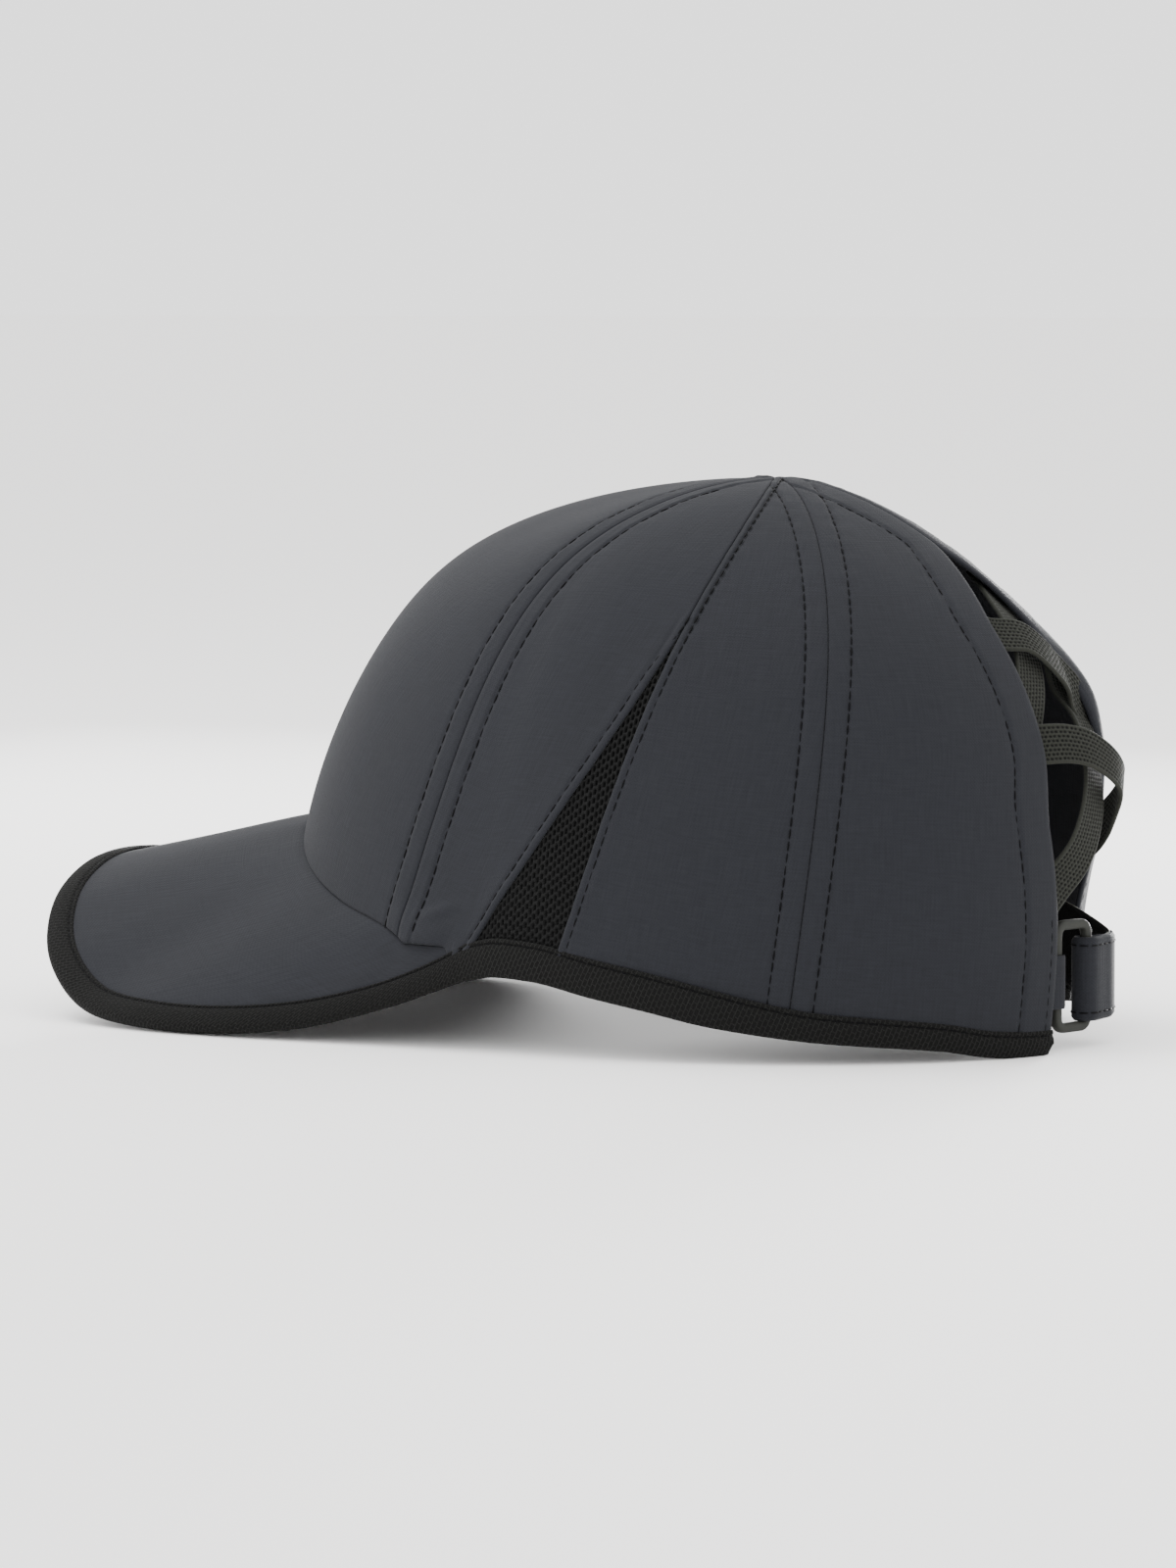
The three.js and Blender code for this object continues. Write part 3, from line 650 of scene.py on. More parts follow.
def shades(tree, share, colour, low, high):
    """Blend of two shades of a colour, given as multiples of it."""
    mix = add_node(tree, "ShaderNodeMix", {"data_type": "RGBA"}, {0: share})
    mix.inputs["A"].default_value = (*[low * c for c in colour], 1)
    mix.inputs["B"].default_value = (*[high * c for c in colour], 1)
    return mix.outputs["Result"]


def finish(tree, shader, colour, height, depth, strength=1.0):
    """Gives the shader its colour, and its relief from a height and a depth in metres."""
    tree.links.new(colour, shader.inputs["Base Color"])
    bump = add_node(tree, "ShaderNodeBump", inputs={
        "Height": height, "Distance": depth, "Strength": strength,
    })
    tree.links.new(bump.outputs["Normal"], shader.inputs["Normal"])


def woven_polyester(colours):
    """Brushed polyester plain weave: a matt navy grey with faint threads both ways and a soft sheen."""
    material, tree, shader = new_material("woven_polyester", roughness=0.8, sheen=0.04, specular=0.1)
    apart = add_node(tree, "ShaderNodeSeparateXYZ", inputs={0: cloth_map(tree)}).outputs
    # The real threads are 0.2 mm apart. They are drawn at 0.8 mm, where they show as a faint grid
    weave = combine(tree, "MULTIPLY", wave(tree, apart["X"], 0.8), wave(tree, apart["Y"], 0.8))
    threads = combine(tree, "ADD", streaks(tree, 0.5, 9), streaks(tree, 7, 0.45))
    mottle = combine(tree, "ADD", threads, combine(tree, "MULTIPLY", weave, 0.18))
    shade = shades(tree, spread(tree, mottle, 0.6, 1.4), colours.cloth, 0.86, 1.16)
    finish(tree, shader, shade, mottle, 0.09 * MM)
    return material


def knitted_mesh(colours):
    """Warp-knitted polyester mesh: black, with near black painted into its long staggered holes as the shade
    inside them.
    """
    material, tree, shader = new_material("knitted_mesh", roughness=0.85, sheen=0.02, specular=0.06)
    yarn = streaks(tree, 0.35, 1.6)
    # Where the pit mask is 1, near black is painted in as the shade inside the holes
    mix = add_node(tree, "ShaderNodeMix", {"data_type": "RGBA"}, {0: marked_pits(tree)})
    tree.links.new(shades(tree, yarn, colours.mesh, 1, 1.5), mix.inputs["A"])
    mix.inputs["B"].default_value = (HOLE_PAINTED_SHADE, HOLE_PAINTED_SHADE, HOLE_PAINTED_SHADE, 1)
    finish(tree, shader, mix.outputs["Result"], yarn, 0.12 * MM)
    return material


def knitted_tape(colours):
    """Binding cut from the same knitted mesh, turned so that its holes slant across the tape."""
    material, tree, shader = new_material("knitted_tape", roughness=0.85, sheen=0.02, specular=0.08)
    slant = add_node(tree, "ShaderNodeMapping", inputs={
        "Vector": cloth_map(tree), "Rotation": (0, 0, math.radians(68)),
    })
    # Holes 1.9 mm long, 1.05 mm apart and staggered row by row
    holes = add_node(tree, "ShaderNodeTexBrick", {"offset": 0.5, "offset_frequency": 2}, {
        "Vector": slant.outputs["Vector"], "Scale": 1.0, "Mortar Size": 0.22, "Mortar Smooth": 1.0,
        "Brick Width": 1.9, "Row Height": 1.05,
    })
    yarn = combine(tree, "MULTIPLY", streaks(tree, 0.4, 0.9), 0.5)
    height = combine(tree, "ADD", holes.outputs["Fac"], yarn)
    # Yarn tone, painted darker in the holes as the shade inside them
    shade = shades(tree, spread(tree, height, 0.1, 1.2), colours.binding, 0.3, 1.35)
    finish(tree, shader, shade, height, 0.3 * MM)
    return material


def elastic_webbing(colours):
    """Knitted elastic webbing: a dark olive grey with lengthwise ribs, and painted shade in the small pits
    between them.
    """
    material, tree, shader = new_material("elastic_webbing", roughness=0.8, sheen=0.04, specular=0.1)
    yarn = streaks(tree, 0.3, 0.5)
    # Random yarn tone, darkened where the pit mask is 1 as painted shade in the pits
    grain_and_pit_shade = combine(tree, "SUBTRACT", combine(tree, "ADD", yarn, 0.4), marked_pits(tree))
    finish(tree, shader, shades(tree, grain_and_pit_shade, colours.elastic, 0.12, 1.4), yarn, 0.08 * MM)
    return material


def loop_pile(colours):
    """Brushed nylon loop pile: black and fuzzy, it hardly reflects."""
    material, tree, shader = new_material("loop_pile", roughness=0.95, sheen=0.04, specular=0.02)
    fuzz = streaks(tree, 0.4, 0.4, 4.0)
    finish(tree, shader, shades(tree, fuzz, colours.mesh, 0.4, 1), fuzz, 0.3 * MM)
    return material


def cut_edge(colours):
    """Cut edge of layered webbing: pale grey fibres."""
    material, tree, shader = new_material("cut_edge", roughness=0.9, specular=0.1)
    fibres = streaks(tree, 0.3, 0.8)
    finish(tree, shader, shades(tree, fibres, colours.cut_edge, 0.35, 1), fibres, 0.1 * MM)
    return material


def spun_thread(colours):
    """Spun polyester thread: nearly black with a faint shine along the twist."""
    material, tree, shader = new_material("spun_thread", roughness=0.6, specular=0.08)
    grain = fine_grain(tree, 3000.0)
    tree.links.new(shades(tree, grain, colours.thread, 0.5, 1), shader.inputs["Base Color"])
    return material


def moulded_acetal(colours):
    """Moulded acetal: a satin grey plastic with the fine grain of its mould."""
    material, tree, shader = new_material("moulded_acetal", roughness=0.55, specular=0.12)
    grain = fine_grain(tree, 1600.0, 3.0)
    finish(tree, shader, shades(tree, grain, colours.ring, 0.92, 1.08), grain, 0.03 * MM, 0.5)
    return material


MAKERS = {
    "cloth": woven_polyester, "mesh": knitted_mesh, "tape": knitted_tape, "elastic": elastic_webbing,
    "pile": loop_pile, "edge": cut_edge, "thread": spun_thread, "ring": moulded_acetal,
}


def material_of(context, kind):
    """The material of a kind, made when it is first asked for."""
    maker = MAKERS[kind]
    found = bpy.data.materials.get(maker.__name__)
    return found or maker(context.scene.cap_colours)


# Stitches


def stitch_tree():
    """Geometry Nodes that lay spindle-shaped stitches along every edge chain of a mesh."""
    tree = bpy.data.node_groups.new("stitch_run", "GeometryNodeTree")
    face = tree.interface
    face.new_socket("Geometry", in_out="INPUT", socket_type="NodeSocketGeometry")
    for name, value in (("Pitch", 3 * MM), ("Length", 2.4 * MM), ("Thread", 0.4 * MM)):
        face.new_socket(name, in_out="INPUT", socket_type="NodeSocketFloat").default_value = value
    face.new_socket("Material", in_out="INPUT", socket_type="NodeSocketMaterial")
    face.new_socket("Geometry", in_out="OUTPUT", socket_type="NodeSocketGeometry")
    given = add_node(tree, "NodeGroupInput").outputs
    runs = add_node(tree, "GeometryNodeMeshToCurve", inputs={"Mesh": given["Geometry"]})
    places = add_node(tree, "GeometryNodeCurveToPoints", {"mode": "LENGTH"}, {
        "Curve": runs.outputs["Curve"], "Length": given["Pitch"],
    })
    bead = add_node(tree, "GeometryNodeMeshUVSphere", inputs={"Segments": 6, "Rings": 5, "Radius": 0.5})
    size = add_node(tree, "ShaderNodeCombineXYZ", inputs={
        "X": given["Thread"], "Y": given["Thread"], "Z": given["Length"],
    })
    copies = add_node(tree, "GeometryNodeInstanceOnPoints", inputs={
        "Points": places.outputs["Points"], "Instance": bead.outputs["Mesh"],
        "Rotation": places.outputs["Rotation"], "Scale": size.outputs[0],
    })
    real = add_node(tree, "GeometryNodeRealizeInstances", inputs={"Geometry": copies.outputs[0]})
    smooth = add_node(tree, "GeometryNodeSetShadeSmooth", inputs={"Geometry": real.outputs[0]})
    painted = add_node(tree, "GeometryNodeSetMaterial", inputs={
        "Geometry": smooth.outputs[0], "Material": given["Material"],
    })
    add_node(tree, "NodeGroupOutput", inputs={"Geometry": painted.outputs[0]})
    return tree


def sew(context, name, runs):
    """Piece with a stitch every pitch along each run of points."""
    sizes = context.scene.cap_sizes
    places, edges = [], []
    for run in runs:
        first = len(places)
        places.extend(run.tolist())
        edges.extend((first + i, first + i + 1) for i in range(len(run) - 1))
    mesh = bpy.data.meshes.new(name + "_runs")
    mesh.from_pydata(places, edges, [])
    guide = link(name + "_runs", mesh)
    tree = bpy.data.node_groups.get("stitch_run") or stitch_tree()
    modifier = guide.modifiers.new("stitches", "NODES")
    modifier.node_group = tree
    values = {
        "Pitch": sizes.stitch_pitch, "Length": sizes.stitch_length, "Thread": sizes.thread,
        "Material": material_of(context, "thread"),
    }
    for item in tree.interface.items_tree:
        if item.in_out == "INPUT" and item.name in values:
            modifier[item.identifier] = values[item.name]
    evaluated = guide.evaluated_get(context.evaluated_depsgraph_get())
    sewn = bpy.data.meshes.new_from_object(evaluated)
    bpy.data.objects.remove(guide)
    piece = link(name, sewn)
    dress(piece, material_of(context, "thread"), "binding")
    return piece


# Crown panels


def columns_across(width):
    """Shares across a panel, close together near both seams and at most 2 mm apart."""
    places = [0, 0.12, 0.3, 0.6]
    while places[-1] < width / MM / 2:
        places.append(places[-1] + min(2.0, max(0.5, 0.08 * places[-1])))
    half = np.array(places) / places[-1] / 2
    return np.concatenate([half, 1 - half[-2::-1]])


def panel_grid(left, right, top, columns, row_step):
    """Bearings and climbs of a panel's grid, from its lower edge up to the top climb."""
    middle = (left(30) + right(30)) / 2

    def upright(climb):
        return middle + 0 * climb

    rows = np.linspace(0, 1, int(up_the_seam(upright)(top) / row_step))
    # Two rows close to the lower edge let it turn in round
    rows = np.concatenate([[0, 0.002, 0.005], rows[1:]])
    u, v = columns[:, None], rows[None, :]
    climb = top * v + 0 * u
    for _ in range(6):
        bearing = left(climb) + (right(climb) - left(climb)) * u
        low = lower_climb(bearing)
        climb = low + (top - low) * v
    return bearing, climb


def rolled(distance, radius):
    """How far a turned edge falls away from the face, by distance from it."""
    share = np.clip(1 - distance / radius, 0, 1)
    return 0.97 * radius * (1 - np.sqrt(1 - share**2))


def topstitched(distance, along, allowance):
    """Relief of a seam with a row of stitches beside it: a raised band, a groove and small puckers."""
    band = 0.2 * MM * ease(distance, 0.3 * MM, 1.6 * MM)
    band = band * (1 - ease(distance, allowance - 1.2 * MM, allowance))
    groove = -0.26 * MM * ridge(distance, allowance, 0.6 * MM)
    near = ridge(distance, allowance, 3 * MM)
    pucker = 0.05 * MM * np.sin(along / MM * 2 * math.pi / 6.3 + 0.8 * np.sin(along / MM / 11))
    pull = 0.07 * MM * np.sin(along / MM * 2 * math.pi / 15.1 + 1.3)
    return band + groove + near * (pucker + pull)


def cloth_panel(name, sizes, width, left_edge, right_edge):
    """One cloth panel between two edges, each as (seam line, stitch distance, lift of a lapped edge)."""
    left, right = left_edge[0], right_edge[0]
    bearing, climb = panel_grid(left, right, TOP_CLIMB, columns_across(width), CLOTH_ROW_STEP)
    base = on_crown(bearing, climb)
    normal = crown_normal(bearing, climb)
    stand = sway(base)
    roll = np.zeros_like(stand)
    for seam, stitch, lift in (left_edge, right_edge):
        distance = from_seam(seam, bearing, climb)
        along = up_the_seam(seam)(climb)
        # The seam above the mesh is lapped, and only its rear side is stitched
        shown = 1 - ease(climb, MESH_CLIMB - 4, MESH_CLIMB + 4) if seam is mesh_front else 1
        stand = stand + topstitched(distance, along, stitch) * shown
        stand = stand + lift(climb) * ridge(distance, 0, 5 * MM)
        roll = np.maximum(roll, rolled(distance, sizes.cloth_wall / 2))
    below = np.linalg.norm(base - base[:, :1], axis=-1)
    stand = stand + bulge(bearing, below) + creases(bearing, base[..., 2])
    roll = np.maximum(roll, rolled(below, sizes.cloth_wall / 2))
    outer = base + normal * (stand - roll)[..., None]
    inner = base + normal * (stand - sizes.cloth_wall + roll)[..., None]
    middle = (left(climb) + right(climb)) / 2
    across = (bearing - middle) * degree_width(bearing, climb)
    uv = np.stack([across, up_the_seam(left)(climb)], -1) / MM
    return shell(name, outer, inner, uv)


def flat(climb):
    return 0 * climb


def beside_mesh(climb):
    """The folded edges stand up where the mesh insert lies under them."""
    return 0.45 * MM * (1 - ease(climb, MESH_CLIMB - 8, MESH_CLIMB + 3))


def line_beside(seam, distance, side, low, high, sink):
    """Run of points on the cloth beside a seam, which the mesh's front row meets at the mesh's top."""
    climb = np.linspace(low, high, 260)
    if seam is mesh_front:
        distance = distance * (1 - ease(climb, MESH_CLIMB - 9, MESH_CLIMB))
    bearing = beside_seam(seam, climb, distance, side)
    base = on_crown(bearing, climb)
    reach = up_the_seam(seam)
    above = reach(climb) - reach(lower_climb(bearing))
    stand = sway(base) + bulge(bearing, above) + creases(bearing, base[..., 2]) + sink
    points = base + crown_normal(bearing, climb) * stand[..., None]
    return evenly(points, 1 * MM)


def both_sides(runs):
    return runs + [drawn(run * np.array([-1, 1, 1])) for run in runs]


class CAP_OT_panels(bpy.types.Operator):
    """Cuts the seven cloth panels of the crown, with their turned edges and grooves"""

    bl_idname = "cap.panels"
    bl_label = "Crown panels"

    def execute(self, context):
        sizes = context.scene.cap_sizes
        cloth = material_of(context, "cloth")
        right_front = (right_front_seam, sizes.seam_allowance, flat)
        front = (front_seam, sizes.seam_allowance, flat)
        mesh = (mesh_front, sizes.fold_allowance, beside_mesh)
        side = (side_seam, sizes.fold_allowance, beside_mesh)
        rear = (rear_seam, sizes.seam_allowance, flat)
        hem = (opening_edge, sizes.hem, flat)
        middle = cloth_panel("front_panel_cloth", sizes, 205 * MM, right_front, front)
        dress(middle, cloth, "shell", "front_panel")
        for name, width, left_edge, right_edge in (
            ("side_front_panel", 52 * MM, front, mesh),
            ("side_back_panel", 56 * MM, side, rear),
            ("back_panel", 70 * MM, rear, hem),
        ):
            piece = cloth_panel(name + "_left_cloth", sizes, width, left_edge, right_edge)
            dress_pair(piece, cloth, "shell", name)
        return {"FINISHED"}


class CAP_OT_mesh_inserts(bpy.types.Operator):
    """Sets the two knitted mesh inserts under the folded edges of their neighbours"""

    bl_idname = "cap.mesh_inserts"
    bl_label = "Mesh inserts"

    def execute(self, context):
        sizes = context.scene.cap_sizes

        def left(climb):
            return beside_seam(mesh_front, climb, MESH_TUCK, -1)

        def right(climb):
            return beside_seam(side_seam, climb, MESH_TUCK, 1)

        bearing, climb = panel_grid(left, right, MESH_CLIMB, np.linspace(0, 1, 78), MESH_ROW_STEP)
        base = on_crown(bearing, climb)
        across = (bearing - side_seam(0)) * degree_width(bearing, climb)
        along = up_the_seam(side_seam)(climb)
        pit = knit_pits(across, along, sizes.knit_pitch, sizes.knit_length)
        out = crown_normal(bearing, climb)
        face = base + out * (sway(base) - 0.35 * MM - HOLE_DEPTH * pit)[..., None]
        back = base + out * (sway(base) - 1.15 * MM)[..., None]
        # The pit mask both sinks the holes and marks where their shade is painted
        piece = shell("mesh_insert_left_knit", face, back, np.stack([across, along], -1) / MM, pit)
        dress_pair(piece, material_of(context, "mesh"), "mesh", "mesh_insert")
        return {"FINISHED"}


def knit_pits(across, along, pitch, length):
    """1 in the long staggered holes of the knit and 0 on its yarn."""
    column = across / pitch
    shift = 0.5 * np.mod(np.floor(column), 2)
    side = np.abs(column - np.floor(column) - 0.5) * 2
    row = along / length + shift
    reach = np.abs(row - np.floor(row) - 0.5) * 2
    return (1 - ease(side, 0.35, 0.85)) * (1 - ease(reach, 0.45, 0.85))


class CAP_OT_crown_stitches(bpy.types.Operator):
    """Sews the rows of stitches beside the crown's seams, the mesh inserts and the hem"""

    bl_idname = "cap.crown_stitches"
    bl_label = "Crown stitches"

    def execute(self, context):
        sizes = context.scene.cap_sizes
        seam, fold = sizes.seam_allowance, sizes.fold_allowance
        # Seam, distance from it, side, lowest and highest climb, and stand-off
        rows = (
            (front_seam, seam, -1, 0.5, 84, THREAD_SINK),
            (front_seam, seam, 1, 3, 78, THREAD_SINK),
            (rear_seam, seam, -1, 1, 80, THREAD_SINK),
            (rear_seam, seam, 1, 1, 80, THREAD_SINK),
            (rear_seam, 0, 1, 1, 86, -0.5 * MM),
            (side_seam, fold, 1, 1, 86, THREAD_SINK + 0.3 * MM),
            (mesh_front, fold, -1, 4, MESH_CLIMB, THREAD_SINK + 0.3 * MM),
            (opening_edge, sizes.hem, -1, 2, 78, THREAD_SINK),
            # The row that holds the tab and the closure strap
            (opening_edge, 2.6 * MM, -1, 3, 13.5, 0.1 * MM),
        )
        sew(context, "crown_stitches", both_sides([line_beside(*row) for row in rows]))
        return {"FINISHED"}


# Brim


def brim_corner():
    return on_crown(BRIM_CORNER_BEARING, 0)


def brim_edge(side):
    """Bound edge of the brim, with side from -1 over the tip to 1."""
    corner = brim_corner()
    tip = CROWN_SHIFT - RIM_HALF_LENGTH - BRIM_REACH
    half = [
        (across * BRIM_HALF_WIDTH, tip + (corner[1] - tip) * back, height * BRIM_TIP_HEIGHT)
        for across, back, height in BRIM_SHAPE
    ]
    half.append(tuple(corner))
    other = [(-x, y, z) for x, y, z in half[:0:-1]]
    return route(other + half, (np.asarray(side) + 1) / 2)


def brim_root(side):
    bearing = BRIM_CORNER_BEARING * np.asarray(side)
    height = np.maximum(rim_height(bearing), BRIM_CORNER_HEIGHT)
    return on_crown(bearing, climb_at_height(bearing, height))


def on_brim(side, out):
    """Point of the brim's upper face: out runs from 0 at the root to 1 at the cloth's edge."""
    root, bound = brim_root(side), brim_edge(side)
    whole = np.linalg.norm(bound - root, axis=-1)
    share = np.asarray(out) * (whole - BINDING_LAP) / whole
    return root + (bound - root) * share[..., None]


def brim_normal(side):
    inside = np.clip(side, -0.985, 0.985)
    half = 0.5 * np.ones_like(inside)
    along = on_brim(inside + 0.01, half) - on_brim(inside - 0.01, half)
    out = on_brim(inside, 2 * half) - on_brim(inside, 0 * half)
    return unit(np.cross(out, along))


def brim_thickness(side):
    return BRIM_THICKNESS + (CLOTH_WALL - BRIM_THICKNESS) * ease(np.abs(side), 0.75, 1)


class CAP_OT_brim(bpy.types.Operator):
    """Bends the curved brim under its cloth, tucked under the crown at its root"""

    bl_idname = "cap.brim"
    bl_label = "Brim"

    def execute(self, context):
        side = np.linspace(-1, 1, 181)
        out = np.concatenate([[-0.03, -0.015, 0], np.linspace(0.01, 1, 44)])
        s, o = np.meshgrid(side, out, indexing="ij")
        base = on_brim(s.ravel(), o.ravel()).reshape(*s.shape, 3)
        normal = brim_normal(side)[:, None]
        stand = sway(base) * 0.7 * ease(o, 0, 0.3)
        face = base + normal * (stand - 0.5 * MM * ridge(o, -0.01, 0.012))[..., None]
        back = base + normal * (stand - brim_thickness(side)[:, None])[..., None]
        from_root = np.linalg.norm(base - base[:, :1], axis=-1)
        piece = shell("brim_cloth", face, back, np.stack([base[..., 0], from_root], -1) / MM)
        dress(piece, material_of(context, "cloth"), "shell", "brim")
        return {"FINISHED"}


# Binding


def binding_stations():
    """Edge, way into the cloth, way out, half thickness and height along the tape."""
    # The rim is level behind bearing 160, so that any bearing there gives the climb of the tape's end
    climb = climb_at_height(170, rim_height(170) + BINDING_LAP)
    bearing = np.linspace(BRIM_CORNER_BEARING, opening_edge(climb), 160)[1:]
    lower = climb_at_height(bearing, rim_height(bearing) + BINDING_LAP)
    out = crown_normal(bearing, lower)
    wall = CLOTH_WALL * np.ones_like(bearing)
    rim = (
        on_crown(bearing, lower) - out * wall[:, None] / 2,
        unit(on_crown(bearing, lower + 4) - on_crown(bearing, lower)), out, wall / 2,
        BINDING_HEIGHT * binding_share(bearing),
    )
    side = np.linspace(-1, 1, 301)
    thick = brim_thickness(side)
    up = brim_normal(side)
    one = np.ones_like(side)
    front = (
        on_brim(side, one) - up * thick[:, None] / 2,
        unit(on_brim(side, 0 * one) - on_brim(side, one)), up, thick / 2,
        BINDING_HEIGHT * binding_share(np.abs(side) * BRIM_CORNER_BEARING),
    )
    flip = np.array([-1, 1, 1])
    other = tuple(part[::-1] * flip if part.ndim == 2 else part[::-1] for part in rim)
    return [np.concatenate(parts) for parts in zip(other, front, rim)]


def smoothed(values, passes):
    """Values along a line, evened out with their neighbours."""
    for _ in range(passes):
        inner = (values[:-2] + 2 * values[1:-1] + values[2:]) / 4
        values = np.concatenate([values[:1], inner, values[-1:]])
    return values


def tape_section(height, half):
    """Heights and stand-offs of the tape's outer face, from one lip round the fold to the other."""
    drop = np.array(LIP_DROPS) * MM
    radius = half + BINDING_WALL
    straight = height - drop
    share = np.clip((drop - 1.7 * MM) / (height - 1.7 * MM), 0, 1)
    # A round lip, a groove under its stitches and a slow belly below them
    stand = half + MM * (
        0.12 + 0.7 * (1 - np.exp(-drop / (0.3 * MM)))
        - 0.42 * ridge(drop, LIP_STITCH_DROP, 0.32 * MM)
        + 0.28 * np.sin(math.pi * share)
    )
    turn = np.radians(np.linspace(14, 90, 7))
    low = -BINDING_LAP + radius * 0.9 * (1 - np.sin(turn))
    keep = straight > low[0] + 0.3 * MM
    up = np.concatenate([straight[keep], low])
    return up, np.concatenate([stand[keep], radius * np.cos(turn)])


class CAP_OT_binding(bpy.types.Operator):
    """Folds the knitted tape over the brim's edge and the rim, and sews it along its lip"""

    bl_idname = "cap.binding"
    bl_label = "Edge binding"

    def execute(self, context):
        edge, into, out, half, height = binding_stations()
        reach = lengths_along(edge)
        steps = np.linspace(0, reach[-1], int(reach[-1] / TAPE_STEP))
        edge, into, out = (sampled(smoothed(part, 6), reach, steps) for part in (edge, into, out))
        half, height = (np.interp(steps, reach, smoothed(part, 6)) for part in (half, height))
        from_end = np.minimum(steps, steps[-1] - steps)
        rows = zip(edge, unit(into), unit(out), half, height, steps, from_end)
        rings, uvs, runs = (np.array(part) for part in zip(*(self.section(*row) for row in rows)))
        tape = loft("edge_binding_tape", rings, uvs)
        dress(tape, material_of(context, "tape"), "binding", "edge_binding")
        sew(context, "binding_stitches", [evenly(runs[2:-2, k], 1 * MM) for k in (0, 1)])
        return {"FINISHED"}

    def section(self, edge, into, out, half, height, place, from_end):
        """One closed section of the tape, with its UV and the two points of its stitch lines."""
        top = height - BINDING_LAP
        up, across = fixed_count(*tape_section(top, half), TAPE_POINTS)
        lift = TAPE_END_ROUND * (1 - math.sqrt(1 - max(0.0, 1 - from_end / TAPE_END_ROUND) ** 2))
        up = np.maximum(up, -BINDING_LAP + lift)
        outer_up = np.concatenate([up, up[::-1][1:]])
        outer_across = np.concatenate([across, -across[::-1][1:]])
        wrap = lengths_along(np.stack([outer_up, outer_across, 0 * outer_up], -1))
        inner_up = np.clip(outer_up, 0.1 * MM, top)
        inner_across = np.clip(outer_across, -half - 0.04 * MM, half + 0.04 * MM)
        ups = np.concatenate([outer_up, inner_up[::-1]])
        sides = np.concatenate([outer_across, inner_across[::-1]])
        ring = drawn(edge + out * sides[:, None] + into * ups[:, None])
        ring[:, 2] = np.maximum(ring[:, 2], 0)
        lengths = np.concatenate([wrap, wrap[::-1]])
        uv = np.stack([np.full_like(lengths, place), lengths], -1) / MM
        seam = edge + into * (top - LIP_STITCH_DROP)
        run = [drawn(seam + out * sign * (half + LIP_STITCH_OUT)) for sign in (1, -1)]
        return ring, uv, run


def fixed_count(up, across, count):
    """The same section with a fixed number of points, so that every ring matches the next."""
    reach = lengths_along(np.stack([up, across, 0 * up], -1))
    share = np.linspace(0, 1, count)
    fine = np.interp(share, np.linspace(0, 1, len(reach)), reach)
    return np.interp(fine, reach, up), np.interp(fine, reach, across)


# Elastic lacing


def layer_stand_off(layer, thickness):
    """Stand-off of a strap's middle inside the back panel, by its layer."""
    return -CLOTH_WALL - HEM_CLEARANCE - thickness / 2 - (layer - 1) * (thickness + 2 * SEAM_GAP)


def across_opening(x, height, stand_off):
    """Point across the rear opening at a height, with its outward direction."""
    climb = climb_at_height(180, height)
    bearing = 180 - np.degrees(np.arcsin(x / (RIM_HALF_WIDTH * reach_at(180, climb))))
    out = crown_normal(bearing, climb)
    return on_crown(bearing, climb) + out * np.asarray(stand_off)[..., None], out


def band(name, middle, wide, out, width, thickness, columns, pits=None):
    """Flat band along a line of points. One with pits is webbing, and follows the drawn corner."""
    a, s = np.meshgrid(np.linspace(-0.5, 0.5, columns) * width, lengths_along(middle))
    edge_share = np.clip((0.5 * width - np.abs(a)) / (0.5 * thickness), 0, 1)
    half = thickness / 2 * (0.15 + 0.85 * np.sqrt(1 - (1 - edge_share) ** 2))
    pit = pits(a + width / 2, s, width) if pits else np.zeros_like(a)
    grid = middle[:, None] + wide[:, None] * a[..., None]
    stand = out[:, None] * (half - PIT_DEPTH * pit)[..., None]
    faces = [drawn(grid + stand), drawn(grid - stand)] if pits else [grid + stand, grid - stand]
    # The pit mask also marks where the webbing's material paints shade
    return shell(name, *faces, np.stack([a, s], -1) / MM, pit)


def webbing_pits(across, along, width):
    """1 in the pits between the ribs of the webbing, staggered from one valley to the next."""
    place = across / width * ELASTIC_RIBS
    valley = 1 - ease(np.abs(place - np.round(place)) * 2, 0.3, 0.8)
    pick = along / PICK_PITCH + 0.5 * np.mod(np.round(place), 2)
    beat = 0.5 - 0.5 * np.cos(2 * math.pi * pick)
    inside = ease(across, 0.3 * MM, 0.9 * MM) * ease(width - across, 0.3 * MM, 0.9 * MM)
    return valley * (0.12 + 0.88 * ease(beat, 0.15, 0.75)) * inside


def elastic_line(rows):
    points = []
    for across, up, kind, value in rows:
        stand = layer_stand_off(value, ELASTIC_THICKNESS) if kind == "layer" else value * ELASTIC_BOW
        points.append(across_opening(across * OPENING_HALF_WIDTH, up * CROWN_HEIGHT, stand)[0])
    return points


class CAP_OT_elastic(bpy.types.Operator):
    """Laces the four ribbed elastic straps across the rear opening"""

    bl_idname = "cap.elastic"
    bl_label = "Elastic straps"

    def execute(self, context):
        webbing = material_of(context, "elastic")
        for name, rows in ELASTIC_SHAPE.items():
            middle = evenly(route(elastic_line(rows), np.linspace(0, 1, 400)), ELASTIC_STEP)
            along = unit(np.gradient(middle, axis=0))
            out = across_opening(middle[:, 0], middle[:, 2], np.zeros(len(middle)))[1]
            wide = unit(np.cross(along, out))
            piece = band(
                name + "_webbing", middle, wide, unit(np.cross(wide, along)),
                ELASTIC_WIDTH, ELASTIC_THICKNESS, ELASTIC_COLUMNS, webbing_pits,
            )
            dress(piece, webbing, "elastic", name)
        return {"FINISHED"}


# Closure


def closure_height():
    return rim_height(180) + BINDING_HEIGHT * binding_share(180) + CLOSURE_CLEARANCE + CLOSURE_WIDTH / 2


